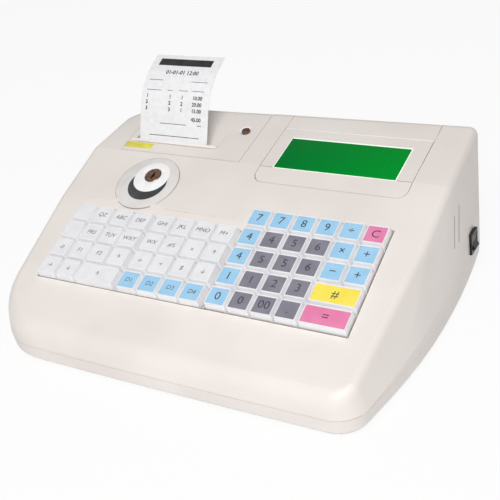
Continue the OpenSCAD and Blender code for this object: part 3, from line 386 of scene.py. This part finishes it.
def slab(name, width_mm, depth_mm, thickness_mm, edge_mm):
    """A thin plate about the origin, standing on its lower face, with rounded edges."""
    select_only()
    bpy.ops.mesh.primitive_plane_add(size=1.0)
    piece = new_piece(name)
    piece.scale = (width_mm * MM, depth_mm * MM, 1.0)
    bpy.ops.object.transform_apply(location=False, rotation=False, scale=True)
    thickened(piece, thickness_mm)
    bevelled(piece, edge_mm)
    return piece


def seat(piece, matrix):
    select_only(piece)
    piece.matrix_world = matrix @ piece.matrix_world
    bpy.ops.object.transform_apply(location=True, rotation=True, scale=True)


def finish_piece(piece, material, body):
    piece.data.materials.clear()
    piece.data.materials.append(material)
    select_only(piece)
    bpy.ops.object.shade_smooth_by_angle(angle=SMOOTH_ANGLE)
    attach(piece, body)


select_only()
print("nothing is selected:", len(bpy.context.selected_objects) == 0)

# %% [markdown]
# ## The mouldings, smoothed
# The cover, the lid, the bezel and the base are smooth mouldings. In the frame their large curves
# are made of narrow flat faces. Each is copied, its loose faces are welded together, and it is
# shaded smooth, apart from true edges: openings, the crease of the deck and the ridge along the
# sides, which are marked sharp by their place. Weighted normals then keep the broad faces flat.

# %% Tell the true edges from the curves
CREASE_ABOVE = 70
RIDGE_Z, RIDGE_RISE, RIDGE_BEYOND = 22.8, 0.11, 118


def on_crease(place):
    return abs(place.y - CREASE_Y * MM) < 0.6 * MM and place.z > CREASE_ABOVE * MM


def on_ridge(place):
    height = RIDGE_Z * MM + RIDGE_RISE * place.y
    return abs(place.z - height) < 0.4 * MM and abs(place.x) > RIDGE_BEYOND * MM


def keep_sharp(piece):
    """Marks the crease and the ridge as sharp edges, and returns how many edges that are."""
    bpy.ops.object.mode_set(mode="EDIT")
    shape = bmesh.from_edit_mesh(piece.data)
    marked = 0
    for edge in shape.edges:
        ends = [corner.co for corner in edge.verts]
        edge.select = all(on_crease(end) for end in ends) or all(on_ridge(end) for end in ends)
        marked += edge.select
    bmesh.update_edit_mesh(piece.data)
    bpy.ops.mesh.mark_sharp()
    bpy.ops.object.mode_set(mode="OBJECT")
    return marked


print("the ridge is", RIDGE_Z, "mm high at the middle and rises by", RIDGE_RISE, "to the rear")


# %% Smooth the mouldings
WELD = 0.02
CURVE_ANGLE = math.radians(24)


def smooth_moulding(node_name, name, body):
    select_only(NODES[node_name])
    bpy.ops.object.duplicate()
    piece = new_piece(name)
    bpy.ops.object.mode_set(mode="EDIT")
    bpy.ops.mesh.select_all(action="SELECT")
    bpy.ops.mesh.remove_doubles(threshold=WELD * MM)
    bpy.ops.mesh.select_all(action="DESELECT")
    bpy.ops.object.mode_set(mode="OBJECT")
    bpy.ops.object.shade_smooth_by_angle(angle=CURVE_ANGLE)
    marked = keep_sharp(piece)
    weighting = piece.modifiers.new("broad faces stay flat", "WEIGHTED_NORMAL")
    weighting.keep_sharp = True
    weighting.weight = 80
    apply_modifiers(piece)
    piece.data.materials.clear()
    piece.data.materials.append(IVORY)
    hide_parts(node_name)
    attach(piece, body)
    print(name, len(piece.data.vertices), "corners,", marked, "edges kept sharp")
    return piece


smooth_moulding("top_cover", "moulded_cover", "case")
smooth_moulding("base_tray", "moulded_base", "case")
LID = smooth_moulding("printer_cover", "moulded_lid", "lid")
smooth_moulding("display_bezel", "moulded_bezel", "case")

# %% [markdown]
# ## Gap round the lid
# A lid needs air round it to swing, yet on a good moulding the eye meets only a hair-line. For that
# its rim leans outward: the gap is wide below and narrow at the surface. Moving the upper corners of
# the rim does the same here, and needs no new face.

# %% Close the lid's gap to a hair-line at the surface
LID_LEFT, LID_RIGHT, LID_FRONT = -110.25, -12.25, 44.0
LID_LEAN = 0.46
RIM_DEPTH = 1.2
NEAR = 0.05


def top_height(y):
    return CREASE_Z + math.tan(math.radians(TOP_TILT)) * (y - CREASE_Y)


moved = 0
for corner in LID.data.vertices:
    x, y, z = corner.co / MM
    if top_height(y) - z > RIM_DEPTH:
        continue
    side = -1 if abs(x - LID_LEFT) < NEAR else 1 if abs(x - LID_RIGHT) < NEAR else 0
    if side:
        corner.co.x += side * LID_LEAN * MM
    if abs(y - LID_FRONT) < NEAR:
        corner.co.y -= LID_LEAN * MM
    moved += bool(side or abs(y - LID_FRONT) < NEAR)
print("corners of the lid's rim moved:", moved)

# %% [markdown]
# ## Inserts of the keys
# Each cap has a shallow recess that takes a coloured insert, so a rim of the white cap shows all
# round it. The insert is a thin plate: a plane is extruded by its thickness and its edges are
# rounded. One plate is modelled for single keys and one for double keys, and then copied.

# %% Make the finishes of the inserts
def satin(name, darker, lighter):
    """A smooth satin skin, as printed film, enamel and small mouldings have it."""
    material = new_material(name, lighter, 0.36, IOR=1.5)
    mottle(material, darker, lighter, 9)
    texture_bump(material, 0.35, 0.01, 0.2)
    return material


INSERTS = {
    "white": satin("printed_white_insert", "#E9E9EC", "#F0F0F2"),
    "blue": satin("printed_blue_insert", "#9CCDEE", "#A6D4F3"),
    "grey": satin("printed_grey_insert", "#7F7E8A", "#8A8995"),
    "pink": satin("printed_pink_insert", "#E780AC", "#EC8AB3"),
    "yellow": satin("printed_yellow_insert", "#FAE452", "#FFEC66")}
INK = satin("screen_printed_ink", "#3C3C42", "#48484F")
PALE_INK = satin("screen_printed_pale_ink", "#515157", "#5C5C62")
print("insert finishes:", ", ".join(INSERTS))


# %% Model the two insert plates
KEY_PITCH, ROW_PITCH = 15.6, 15.5
INSERT_WIDTH, INSERT_DEPTH, INSERT_THICKNESS, INSERT_EDGE = 12.1, 11.5, 0.36, 0.12
SINGLE_PLATE = slab("single_insert", INSERT_WIDTH, INSERT_DEPTH, INSERT_THICKNESS, INSERT_EDGE)
DOUBLE_PLATE = slab("double_insert", INSERT_WIDTH + KEY_PITCH, INSERT_DEPTH, INSERT_THICKNESS, INSERT_EDGE)
print("plates:", len(SINGLE_PLATE.data.polygons), "faces each")

# %% [markdown]
# ## Legends
# The legends are printed: figures, signs and letter groups as any till has them. They are made as
# text, turned into a thin mesh whose middle lies a fiftieth of a millimetre off the insert, and
# joined to it, so a key's insert stays one piece.

# %% Define the legends
LEFT_LEGENDS = [
    ["", "QZ", "ABC", "DEF", "GHI", "JKL", "MNO", "M+"],
    ["", "PRS", "TUV", "WXY", "WX", "#%", "x", "↑"],
    ["-0", "F1", "F2", "↑", "←", "+", "$", "↓"],
    ["→", "↓", "↑", "D1", "D2", "D3", "D4"]]
RIGHT_LEGENDS = {
    (1, 1): "7", (1, 2): "7", (1, 3): "8", (1, 4): "9", (1, 5): "÷", (1, 6): "C",
    (2, 1): "4", (2, 2): "4", (2, 3): "5", (2, 4): "6", (2, 5): "×", (2, 6): "+",
    (3, 1): "4", (3, 2): "5", (3, 3): "5", (3, 4): "6", (3, 5): "−", (3, 6): "+",
    (4, 1): "1", (4, 2): "1", (4, 3): "2", (4, 4): "3", (4, 5): "#",
    (5, 1): "0", (5, 2): "0", (5, 3): "00", (5, 4): ".", (5, 5): "="}
FONT_TO_CAPITAL = 1.4


def printed(text, height_mm, ink, matrix, thickness=0.01, lean=0.0, weight=0.0):
    """A flat print of a text. Its capitals are about height_mm high, and weight makes it bolder."""
    select_only()
    bpy.ops.object.text_add()
    piece = bpy.context.object
    piece.name = "print"
    piece.data.body = text
    piece.data.size = height_mm * FONT_TO_CAPITAL * MM
    piece.data.shear = lean
    piece.data.offset = weight * MM
    piece.data.align_x = "CENTER"
    piece.data.align_y = "CENTER"
    piece.data.extrude = thickness * MM
    piece.data.resolution_u = 3
    bpy.ops.object.convert(target="MESH")
    piece = bpy.context.object
    piece.data.materials.clear()
    piece.data.materials.append(ink)
    seat(piece, matrix)
    return piece


print("legends:", sum(len(row) for row in LEFT_LEGENDS) + len(RIGHT_LEGENDS))


# %% Place an insert with its legend
INSERT_LEVEL, PRINT_LEVEL = 4.02, 4.4


def copy_of(plate, colour, matrix):
    piece = plate.copy()
    piece.data = plate.data.copy()
    bpy.context.scene.collection.objects.link(piece)
    piece.data.materials.clear()
    piece.data.materials.append(INSERTS[colour])
    seat(piece, matrix)
    return piece


def key_insert(x, v, double, colour, legend, height_mm, ink, lean=0.0):
    """An insert on the floor of its recess, 4 mm above the deck, with its print on top."""
    pattern = DOUBLE_PLATE if double else SINGLE_PLATE
    insert = copy_of(pattern, colour, at(DECK, x, v, INSERT_LEVEL))
    if not legend:
        return [insert]
    return [insert, printed(legend, height_mm, ink, at(DECK, x, v, PRINT_LEVEL), lean=lean)]


def joined(parts, name, body):
    select_only(*parts)
    bpy.ops.object.join()
    piece = new_piece(name)
    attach(piece, body)
    return piece


print("an insert lies", INSERT_LEVEL, "mm above the deck")

# %% [markdown]
# ## Dressing the keys
# Right of the middle stand five rows of figure keys, counted from the rear. Each is a part of its
# own, so each gets its own insert. On the left a row of eight places is one part, and its inserts
# are joined into one piece. A double key takes two places.

# %% Dress the right-hand keys
RIGHT_X, RIGHT_V = 27.56, 8.1
FIGURE_HEIGHT = 5.6


def right_colour(row, column):
    if (row, column) in ((1, 6), (5, 5)):
        return "pink"
    if (row, column) == (4, 5):
        return "yellow"
    return "grey" if row > 1 and 1 < column < 5 else "blue"


for (row, column), legend in RIGHT_LEGENDS.items():
    double = column == 5 and row > 3
    x = RIGHT_X + (column - 1) * KEY_PITCH + (KEY_PITCH / 2 if double else 0)
    v = RIGHT_V + (5 - row) * ROW_PITCH
    parts = key_insert(x, v, double, right_colour(row, column), legend, FIGURE_HEIGHT, INK)
    body = "key_r%dc%d" % (row, column)
    joined(parts, "insert_" + body, body)
print("right-hand inserts:", len(RIGHT_LEGENDS))

# %% Dress the left-hand keys
LEFT_X, LEFT_V = -101.9, 7.7
LEFT_GAP = 2.05
LETTER_HEIGHT, LETTER_LEAN = 3.15, 0.15


def left_x(column):
    return LEFT_X + KEY_PITCH * column + (LEFT_GAP if column > 3 else 0)


for row in range(1, 5):
    parts = []
    for column, legend in enumerate(LEFT_LEGENDS[row - 1]):
        double = row == 4 and column == 2
        place = column + 1 if row == 4 and column > 2 else column
        x = (left_x(2) + left_x(3)) / 2 if double else left_x(place)
        v = LEFT_V + (4 - row) * ROW_PITCH
        colour = "blue" if row == 4 and place > 3 else "white"
        parts += key_insert(x, v, double, colour, legend, LETTER_HEIGHT, PALE_INK, LETTER_LEAN)
    joined(parts, "inserts_left_row%d" % row, "left_keys_row%d" % row)
for pattern in (SINGLE_PLATE, DOUBLE_PLATE):
    bpy.data.objects.remove(pattern)
print("left-hand inserts:", sum(len(row) for row in LEFT_LEGENDS), "in 4 rows")

# %% [markdown]
# ## Discs round the lock
# Inside the moulded ring lies a pale plate, with a grey ring of painted shade round its edge. On it
# lie a dark disc and a white one. They overlap off centre, so only a crescent of the dark disc shows.
# Each is a turned disc with a hole for the lock where it reaches that far: a circle is filled, extruded
# and bevelled, and the hole is cut by a boolean with a plain cylinder.

# %% Make the discs
LOCK_X, LOCK_V = -69.85, 96.4
LOCK_HOLE, DRILL_DEPTH = 6.35, 10


def disc(name, x, v, low, radius, thickness, material):
    """A disc centred on x and v on the deck. It is drilled about the lock, and then seated there."""
    select_only()
    bpy.ops.mesh.primitive_circle_add(vertices=96, radius=radius * MM, fill_type="NGON")
    piece = new_piece(name)
    thickened(piece, thickness)
    seat(piece, Matrix.Translation(((x - LOCK_X) * MM, (v - LOCK_V) * MM, low * MM)))
    select_only()
    bpy.ops.mesh.primitive_cylinder_add(vertices=64, radius=LOCK_HOLE * MM, depth=DRILL_DEPTH * MM)
    drill = new_piece("drill")
    cut = piece.modifiers.new("hole for the lock", "BOOLEAN")
    cut.operation = "DIFFERENCE"
    cut.solver = "EXACT"
    cut.object = drill
    apply_modifiers(piece)
    bpy.data.objects.remove(drill)
    bevelled(piece, min(0.12, thickness * 0.4), 40)
    seat(piece, at(DECK, LOCK_X, LOCK_V))
    finish_piece(piece, material, "case")


PALE_PLATE = satin("moulded_pale_plate", "#E1DDD9", "#E7E4E1")
# A grey for thin lines of painted shade at steps and creases.
PAINTED_SHADE_GREY = satin("painted_shade_line", "#A0978F", "#ABA29A")
DARK_ENAMEL = satin("enamelled_dark_disc", "#353537", "#404042")
WHITE_ENAMEL = satin("enamelled_white_disc", "#F8F8F8", "#FDFDFD")
# The first disc is a grey ring of painted shade round the plate's edge.
# Each line gives the disc's name, its centre across and up the deck, its level, radius and thickness.
disc("lock_plate_shade_ring", -70.95, 89.4, 0.0, 23.7, 0.64, PAINTED_SHADE_GREY)
disc("lock_plate", -70.9, 89.4, 0.64, 23.3, 0.16, PALE_PLATE)
disc("lock_crescent", -70.1, 88.4, 0.81, 14.6, 0.1, DARK_ENAMEL)
disc("lock_disc", -69.9, 94.6, 0.92, 13.5, 0.12, WHITE_ENAMEL)
print("a seam, a plate and two discs round the lock")

# %% [markdown]
# ## The receipt
# The paper rises from its slot leaning back, then curls over. Its print is a header bar, ruled
# lines and rows of figures. Bars and figures are made flat, cut finely enough to bend, and then each
# of their points is laid onto the curve of the paper, a twentieth of a millimetre off its face.

# %% Smooth the paper
RECEIPT = smooth_moulding("receipt", "paper_receipt", "lid")
RECEIPT.data.materials[0] = PAPER


# %% Follow the curve of the paper
SLOT_X, SLOT_Y, SLOT_Z = -73.45, 56.9, 82.704
PAPER_LEAN, PAPER_RISE = math.radians(21.7), 22.0
CURL_RADIUS, CURL_TURN = 45.0, math.radians(44)
HALF_PAPER, PRINT_LIFT = 0.15, 0.05


def on_paper(x, s, lift):
    """x across from the middle of the paper, s along it from the slot, lift off its face, in mm."""
    angle = PAPER_LEAN
    straight = min(s, PAPER_RISE)
    y = SLOT_Y + straight * math.sin(angle)
    z = SLOT_Z + straight * math.cos(angle)
    if s > PAPER_RISE:
        middle = (y + CURL_RADIUS * math.cos(angle), z - CURL_RADIUS * math.sin(angle))
        angle += min((s - PAPER_RISE) / CURL_RADIUS, CURL_TURN)
        rest = max(0.0, s - PAPER_RISE - CURL_RADIUS * CURL_TURN)
        y = middle[0] - CURL_RADIUS * math.cos(angle) + rest * math.sin(angle)
        z = middle[1] + CURL_RADIUS * math.sin(angle) + rest * math.cos(angle)
    lift += HALF_PAPER
    return Vector((SLOT_X + x, y - lift * math.cos(angle), z + lift * math.sin(angle))) * MM


def lay_on_paper(piece):
    for corner in piece.data.vertices:
        flat = corner.co / MM
        corner.co = on_paper(flat.x, flat.y, flat.z + PRINT_LIFT)
    return piece


print("the paper curls over after", PAPER_RISE, "mm")


# %% Print the receipt
PRINT_BLACK = satin("heat_developed_print", "#222224", "#34343A")
# A bar or a rule goes from one place across the paper to another, at a place along it, and is so high.
HEADER_BAR = (-23.0, 21.6, 59.6, 6.4)
RULES = (
    (-25.4, -13.3, 43.6, 0.35), (10.8, 24.2, 43.4, 0.35), (-25.2, -12.4, 35.9, 0.35),
    (-7.3, -2.8, 36.1, 0.35), (2.6, 9.7, 36.4, 0.35), (13.8, 23.5, 36.6, 0.35),
    (-11.5, 10.6, 12.6, 0.4), (19.8, 23.4, 12.7, 0.4), (-20.6, 22.0, 3.9, 0.45))
COLUMNS = (-23.8, -4.2, 6.1, 18.8)
ITEMS = (("1", "1", "1", "10.00"), ("2", "2", "2", "20.00"), ("3", "3", "1", "15.00"))
FIRST_LINE, LINE_PITCH, TOTAL_LINE, AMOUNT_HEIGHT = 31.6, 4.5, 16.6, 2.6
DATE_X, DATE_LINE, DATE_HEIGHT = 0.4, 50.2, 3.2


def bar(x0, x1, s, height_mm):
    select_only()
    cuts = max(1, round(height_mm))
    bpy.ops.mesh.primitive_grid_add(x_subdivisions=2, y_subdivisions=cuts, size=1.0)
    piece = bpy.context.object
    piece.scale = ((x1 - x0) * MM, height_mm * MM, 1.0)
    piece.location = ((x0 + x1) / 2 * MM, s * MM, 0)
    bpy.ops.object.transform_apply(location=True, rotation=True, scale=True)
    piece.data.materials.append(PRINT_BLACK)
    return lay_on_paper(piece)


def figures(text, x, s, height_mm=AMOUNT_HEIGHT):
    place = Matrix.Translation((x * MM, s * MM, 0))
    return lay_on_paper(printed(text, height_mm, PRINT_BLACK, place, thickness=0.0, weight=0.1))


marks = [bar(*HEADER_BAR)]
marks += [bar(*rule) for rule in RULES]
marks += [figures("01-01-01 12:00", DATE_X, DATE_LINE, DATE_HEIGHT)]
for line, item in enumerate(ITEMS):
    marks += [figures(text, x, FIRST_LINE - LINE_PITCH * line) for text, x in zip(item, COLUMNS)]
marks += [figures("45.00", COLUMNS[-1], TOTAL_LINE)]
PRINT = joined(marks, "printed_receipt_lines", "lid")
print("print:", len(PRINT.data.polygons), "faces")

# %% [markdown]
# ## Thin plates on the lid and the deck
# In front of the receipt's slot lies the flat foot of the tear bar with a lip on it, and before
# that a blank yellow label. A shallow label panel lies behind the left keys. All of them are thin
# plates with rounded edges: a plane, extruded and bevelled.

# %% Make the plates of the lid and the deck
def plate(name, face, across, along, low, thickness, material, body, slot_name, edge_mm):
    """A plate that spans across and along on a face, and stands on it from the level low."""
    piece = slab(name, across[1] - across[0], along[1] - along[0], thickness, edge_mm)
    seat(piece, at(face, sum(across) / 2, sum(along) / 2, low))
    finish_piece(piece, material, body)


# Each plate spans so much across its face, and so much up its slope.
TEAR_FOOT, FOOT_THICKNESS = ((-106.6, -35.6), (12.1, 13.3)), 0.75
TEAR_LIP, LIP_LOW, LIP_THICKNESS = ((-107.4, -35.2), (10.7, 13.3)), 0.72, 0.85
BLANK_LABEL, LABEL_LOW, LABEL_THICKNESS = ((-110.4, -86.9), (4.2, 10.1)), 0.02, 0.08
LABEL_PANEL, PANEL_THICKNESS = ((-46.0, 8.3), (69.2, 82.4)), 0.35
YELLOW_FILM = satin("printed_yellow_film", "#DED648", "#EBE356")
# The tear bar's plates take the paler copy of the ivory, as painted light.
plate("tear_foot", TOP, *TEAR_FOOT, 0.0, FOOT_THICKNESS, TEAR_ABS_PAINTED_LIGHT, "lid", "pale_abs", 0.1)
plate("tear_lip", TOP, *TEAR_LIP, LIP_LOW, LIP_THICKNESS, TEAR_ABS_PAINTED_LIGHT, "lid", "pale_abs", 0.25)
plate("blank_label", TOP, *BLANK_LABEL, LABEL_LOW, LABEL_THICKNESS, YELLOW_FILM, "lid", "pale_abs", 0.03)
plate("label_panel", DECK, *LABEL_PANEL, 0.0, PANEL_THICKNESS, IVORY, "case", "ivory_abs", 0.16)
print("four plates on the lid and the deck")

# %% [markdown]
# ## Display film and lines of the bezel
# The green film lies on the window, and a thin glowing line round it is a painted highlight on the
# acrylic's edge. A white strip at the rear of the bezel is a painted highlight along its edge, and the
# crease of the case runs on beside the window as a fine grey line of painted shade. They are thin
# plates as well, none of them thicker than a sixth of a millimetre.

# %% Make the plates of the display
FILM = 0.08
HIGHLIGHT_LINE = ((15.15, 101.3), (-0.9, 31.7))
DISPLAY_FILM = ((15.6, 100.8), (-0.6, 30.5))
REAR_HIGHLIGHT, HIGHLIGHT_HEIGHT = ((5.5, 111.4), (40.72, 41.28)), 0.16
CREASE_SHADES = {"bezel_crease_shade_left": (5.7, 15.0), "bezel_crease_shade_right": (101.4, 111.3)}
CREASE_WIDTH, CREASE_LOW = (-0.75, -0.35), -0.06
# A near-white for painted highlights: a strip along the bezel's rear edge, and the latch's cone.
PAINTED_HIGHLIGHT_WHITE = satin("painted_highlight_white", "#FBF9F7", "#FFFFFF")
plate("display_painted_highlight", TOP, *HIGHLIGHT_LINE, 0.0, FILM, PAINTED_EDGE_HIGHLIGHT, "case", "lcd_green", 0.03)
plate("display_film", TOP, *DISPLAY_FILM, FILM, FILM, WINDOW, "case", "lcd_green", 0.03)
plate("bezel_rear_painted_highlight", TOP, *REAR_HIGHLIGHT, 0.0, HIGHLIGHT_HEIGHT, PAINTED_HIGHLIGHT_WHITE, "case", "ivory_abs", 0.06)
# Grey lines beside the window: painted shade of the crease.
for name, span in CREASE_SHADES.items():
    plate(name, TOP, span, CREASE_WIDTH, CREASE_LOW, FILM, PAINTED_SHADE_GREY, "case", "ivory_abs", 0.02)
print("display film, edge light, bead and", len(CREASE_SHADES), "crease lines")

# %% [markdown]
# ## Painted shade in the gap of the keyboard's well
# A thin brown strip, painted shade, fills the gap between the keyboard and the walls of its well,
# and shows as a thin dark line at the front and at the right. It lies just below the deck.

# %% Lay the painted shade of the gap
WELL_LEFT, WELL_RIGHT, WELL_REAR = -110.08, 113.73, 77.5
GAP_SHADE_WIDTH, GAP_SHADE_LOW, GAP_SHADE_HEIGHT = 0.42, -1.3, 1.1
CORNER_CLEAR = 0.45
# A brown strip of painted shade in the gap round the keyboard.
WELL_GAP_SHADE = satin("painted_gap_shade_brown", "#5A4438", "#6A5244")
FRONT_RUN = ((WELL_LEFT, WELL_RIGHT), (0.0, GAP_SHADE_WIDTH))
RIGHT_RUN = ((WELL_RIGHT - GAP_SHADE_WIDTH, WELL_RIGHT), (CORNER_CLEAR, WELL_REAR))
for name, run in (("well_gap_shade_front", FRONT_RUN), ("well_gap_shade_right", RIGHT_RUN)):
    plate(name, DECK, *run, GAP_SHADE_LOW, GAP_SHADE_HEIGHT, WELL_GAP_SHADE, "case", "dark_abs", 0.05)
print("gasket at the front and at the right")

# %% [markdown]
# ## Rim round the latch
# A white cone lines the recess in which the latch of the printer cover sits. Its white is painted
# highlight, so the lit side of the recess shows as a bright crescent. It starts as a circle whose edge
# is extruded down and drawn in, and gets its thickness from a Solidify modifier.

# %% Line the latch's recess
LATCH_X, LATCH_V, LATCH_LEVEL = -23.25, 34.0, 0.07
CONE_RADIUS, CONE_DEPTH, CONE_TAPER, CONE_WALL = 4.9, 1.1, 0.72, 0.1
select_only()
bpy.ops.mesh.primitive_circle_add(vertices=64, radius=CONE_RADIUS * MM, fill_type="NOTHING")
latch_rim = new_piece("latch_rim")
bpy.ops.object.mode_set(mode="EDIT")
bpy.ops.mesh.select_all(action="SELECT")
bpy.ops.mesh.extrude_edges_move(TRANSFORM_OT_translate={"value": (0, 0, -CONE_DEPTH * MM)})
bpy.ops.transform.resize(value=(CONE_TAPER, CONE_TAPER, 1.0))
bpy.ops.object.mode_set(mode="OBJECT")
wall = latch_rim.modifiers.new("wall", "SOLIDIFY")
wall.thickness = CONE_WALL * MM
wall.offset = 0.0
apply_modifiers(latch_rim)
faces_outward(latch_rim)
seat(latch_rim, at(TOP, LATCH_X, LATCH_V, LATCH_LEVEL))
# The cone's white is painted highlight on the lit side of the recess.
finish_piece(latch_rim, PAINTED_HIGHLIGHT_WHITE, "lid")
print("latch rim:", len(latch_rim.data.polygons), "faces")

# %% [markdown]
# ## Painted shade in the side slots
# The two narrow slots in the right side lean to the rear. The wall there leans in by 7.3 degrees, and
# a dark strip of painted shade stands just behind its face in each slot.

# %% Set the strips of painted shade into the slots
WALL_X, WALL_Z, WALL_SLOPE = 140.43, 43, 0.1285
WALL_TURN, SLOT_LEAN = math.radians(82.68), math.radians(-25)
STRIP_MARGIN, STRIP_HALF, STRIP_LOW, STRIP_THICKNESS = 0.3, 0.75, -0.7, 0.4
# Each slot's strip has a name, the place of its upper end to the rear and up, and the slot's length.
SLOTS = (("slot_shade_strip_front", 33.0, 42.2, 20.0), ("slot_shade_strip_rear", 41.2, 42.0, 23.0))
# Dark strips behind the slots: painted shade.
MESH = satin("painted_slot_shade", "#5A5450", "#6A635E")
for name, y, z, length in SLOTS:
    wall_x = WALL_X - WALL_SLOPE * (z - WALL_Z)
    slot_face = Matrix.Translation((wall_x * MM, y * MM, z * MM))
    slot_face = slot_face @ Matrix.Rotation(WALL_TURN, 4, "Y") @ Matrix.Rotation(SLOT_LEAN, 4, "Z")
    run = ((STRIP_MARGIN - length, -STRIP_MARGIN), (-STRIP_HALF, STRIP_HALF))
    plate(name, slot_face, *run, STRIP_LOW, STRIP_THICKNESS, MESH, "case", "black_nylon", 0.05)
print("two mesh strips")

# %% [markdown]
# ## Light and floor
# A pale floor and soft light from above and in front, as in a product studio. The lamps are kept at
# a plain level, at which a colour renders about as it is written. The white around the object
# comes from what the camera sees of the floor and the world, not from more light: a ray from the
# camera, or one that a surface mirrors or lets through, meets a floor that nearly glows. All other
# rays meet plain paper, so the object keeps its shadow.

# %% Lay the floor
FLOOR_LIFT = 0.9
select_only()
bpy.ops.mesh.primitive_plane_add(size=6.0, location=(0, 0, 0))
floor = new_piece("floor")
STUDIO = new_material("studio_paper", "#F2F2F2", 0.9)
floor.data.materials.append(STUDIO)
tree = STUDIO.node_tree
rays = add_node(tree, "ShaderNodeLightPath").outputs
white = add_node(tree, "ShaderNodeEmission", {"Color": (1, 1, 1, 1), "Strength": 1.0})
clear = add_node(tree, "ShaderNodeMath", {"operation": "MAXIMUM"})
seen = add_node(tree, "ShaderNodeMath", {"operation": "MAXIMUM"})
lift = add_node(tree, "ShaderNodeMath", {"operation": "MULTIPLY"})
lift.inputs[1].default_value = FLOOR_LIFT
both = add_node(tree, "ShaderNodeMixShader")
for source, target in (
        (rays["Is Glossy Ray"], clear.inputs[0]),
        (rays["Is Transmission Ray"], clear.inputs[1]),
        (rays["Is Camera Ray"], seen.inputs[0]),
        (clear.outputs[0], seen.inputs[1]),
        (seen.outputs[0], lift.inputs[0]),
        (lift.outputs[0], both.inputs[0]),
        (tree.nodes["Principled BSDF"].outputs[0], both.inputs[1]),
        (white.outputs[0], both.inputs[2]),
        (both.outputs[0], tree.nodes["Material Output"].inputs["Surface"])):
    tree.links.new(source, target)
print("the floor is white to the camera")

# %% Surround the scene with white
AMBIENT = 0.34
world = bpy.data.worlds.new("studio")
world.use_nodes = True
tree = world.node_tree
ground = tree.nodes["Background"]
ground.inputs["Color"].default_value = (1, 1, 1, 1)
rays = add_node(tree, "ShaderNodeLightPath").outputs
levels = {"From Min": 0.0, "From Max": 1.0, "To Min": AMBIENT, "To Max": 1.0}
strength = add_node(tree, "ShaderNodeMapRange", levels, {"Value": rays["Is Camera Ray"]})
tree.links.new(strength.outputs["Result"], ground.inputs["Strength"])
bpy.context.scene.world = world
print("the world is white to the camera, and lights the object at a strength of", AMBIENT)


# %% Hang the lamps
AIM = Vector((0, 0, 0.05))


def lamp(name, power, size, place):
    light = bpy.data.lights.new(name, "AREA")
    light.energy = power
    light.size = size
    holder = bpy.data.objects.new(name, light)
    bpy.context.scene.collection.objects.link(holder)
    holder.location = place
    holder.rotation_euler = (AIM - holder.location).to_track_quat("-Z", "Y").to_euler()


lamp("key_light", power=9.4, size=0.6, place=(0.32, -0.72, 0.88))
lamp("left_light", power=0.5, size=0.4, place=(-0.85, 0.0, 0.8))
bpy.context.scene.view_settings.view_transform = "Standard"
print("lamps hung")
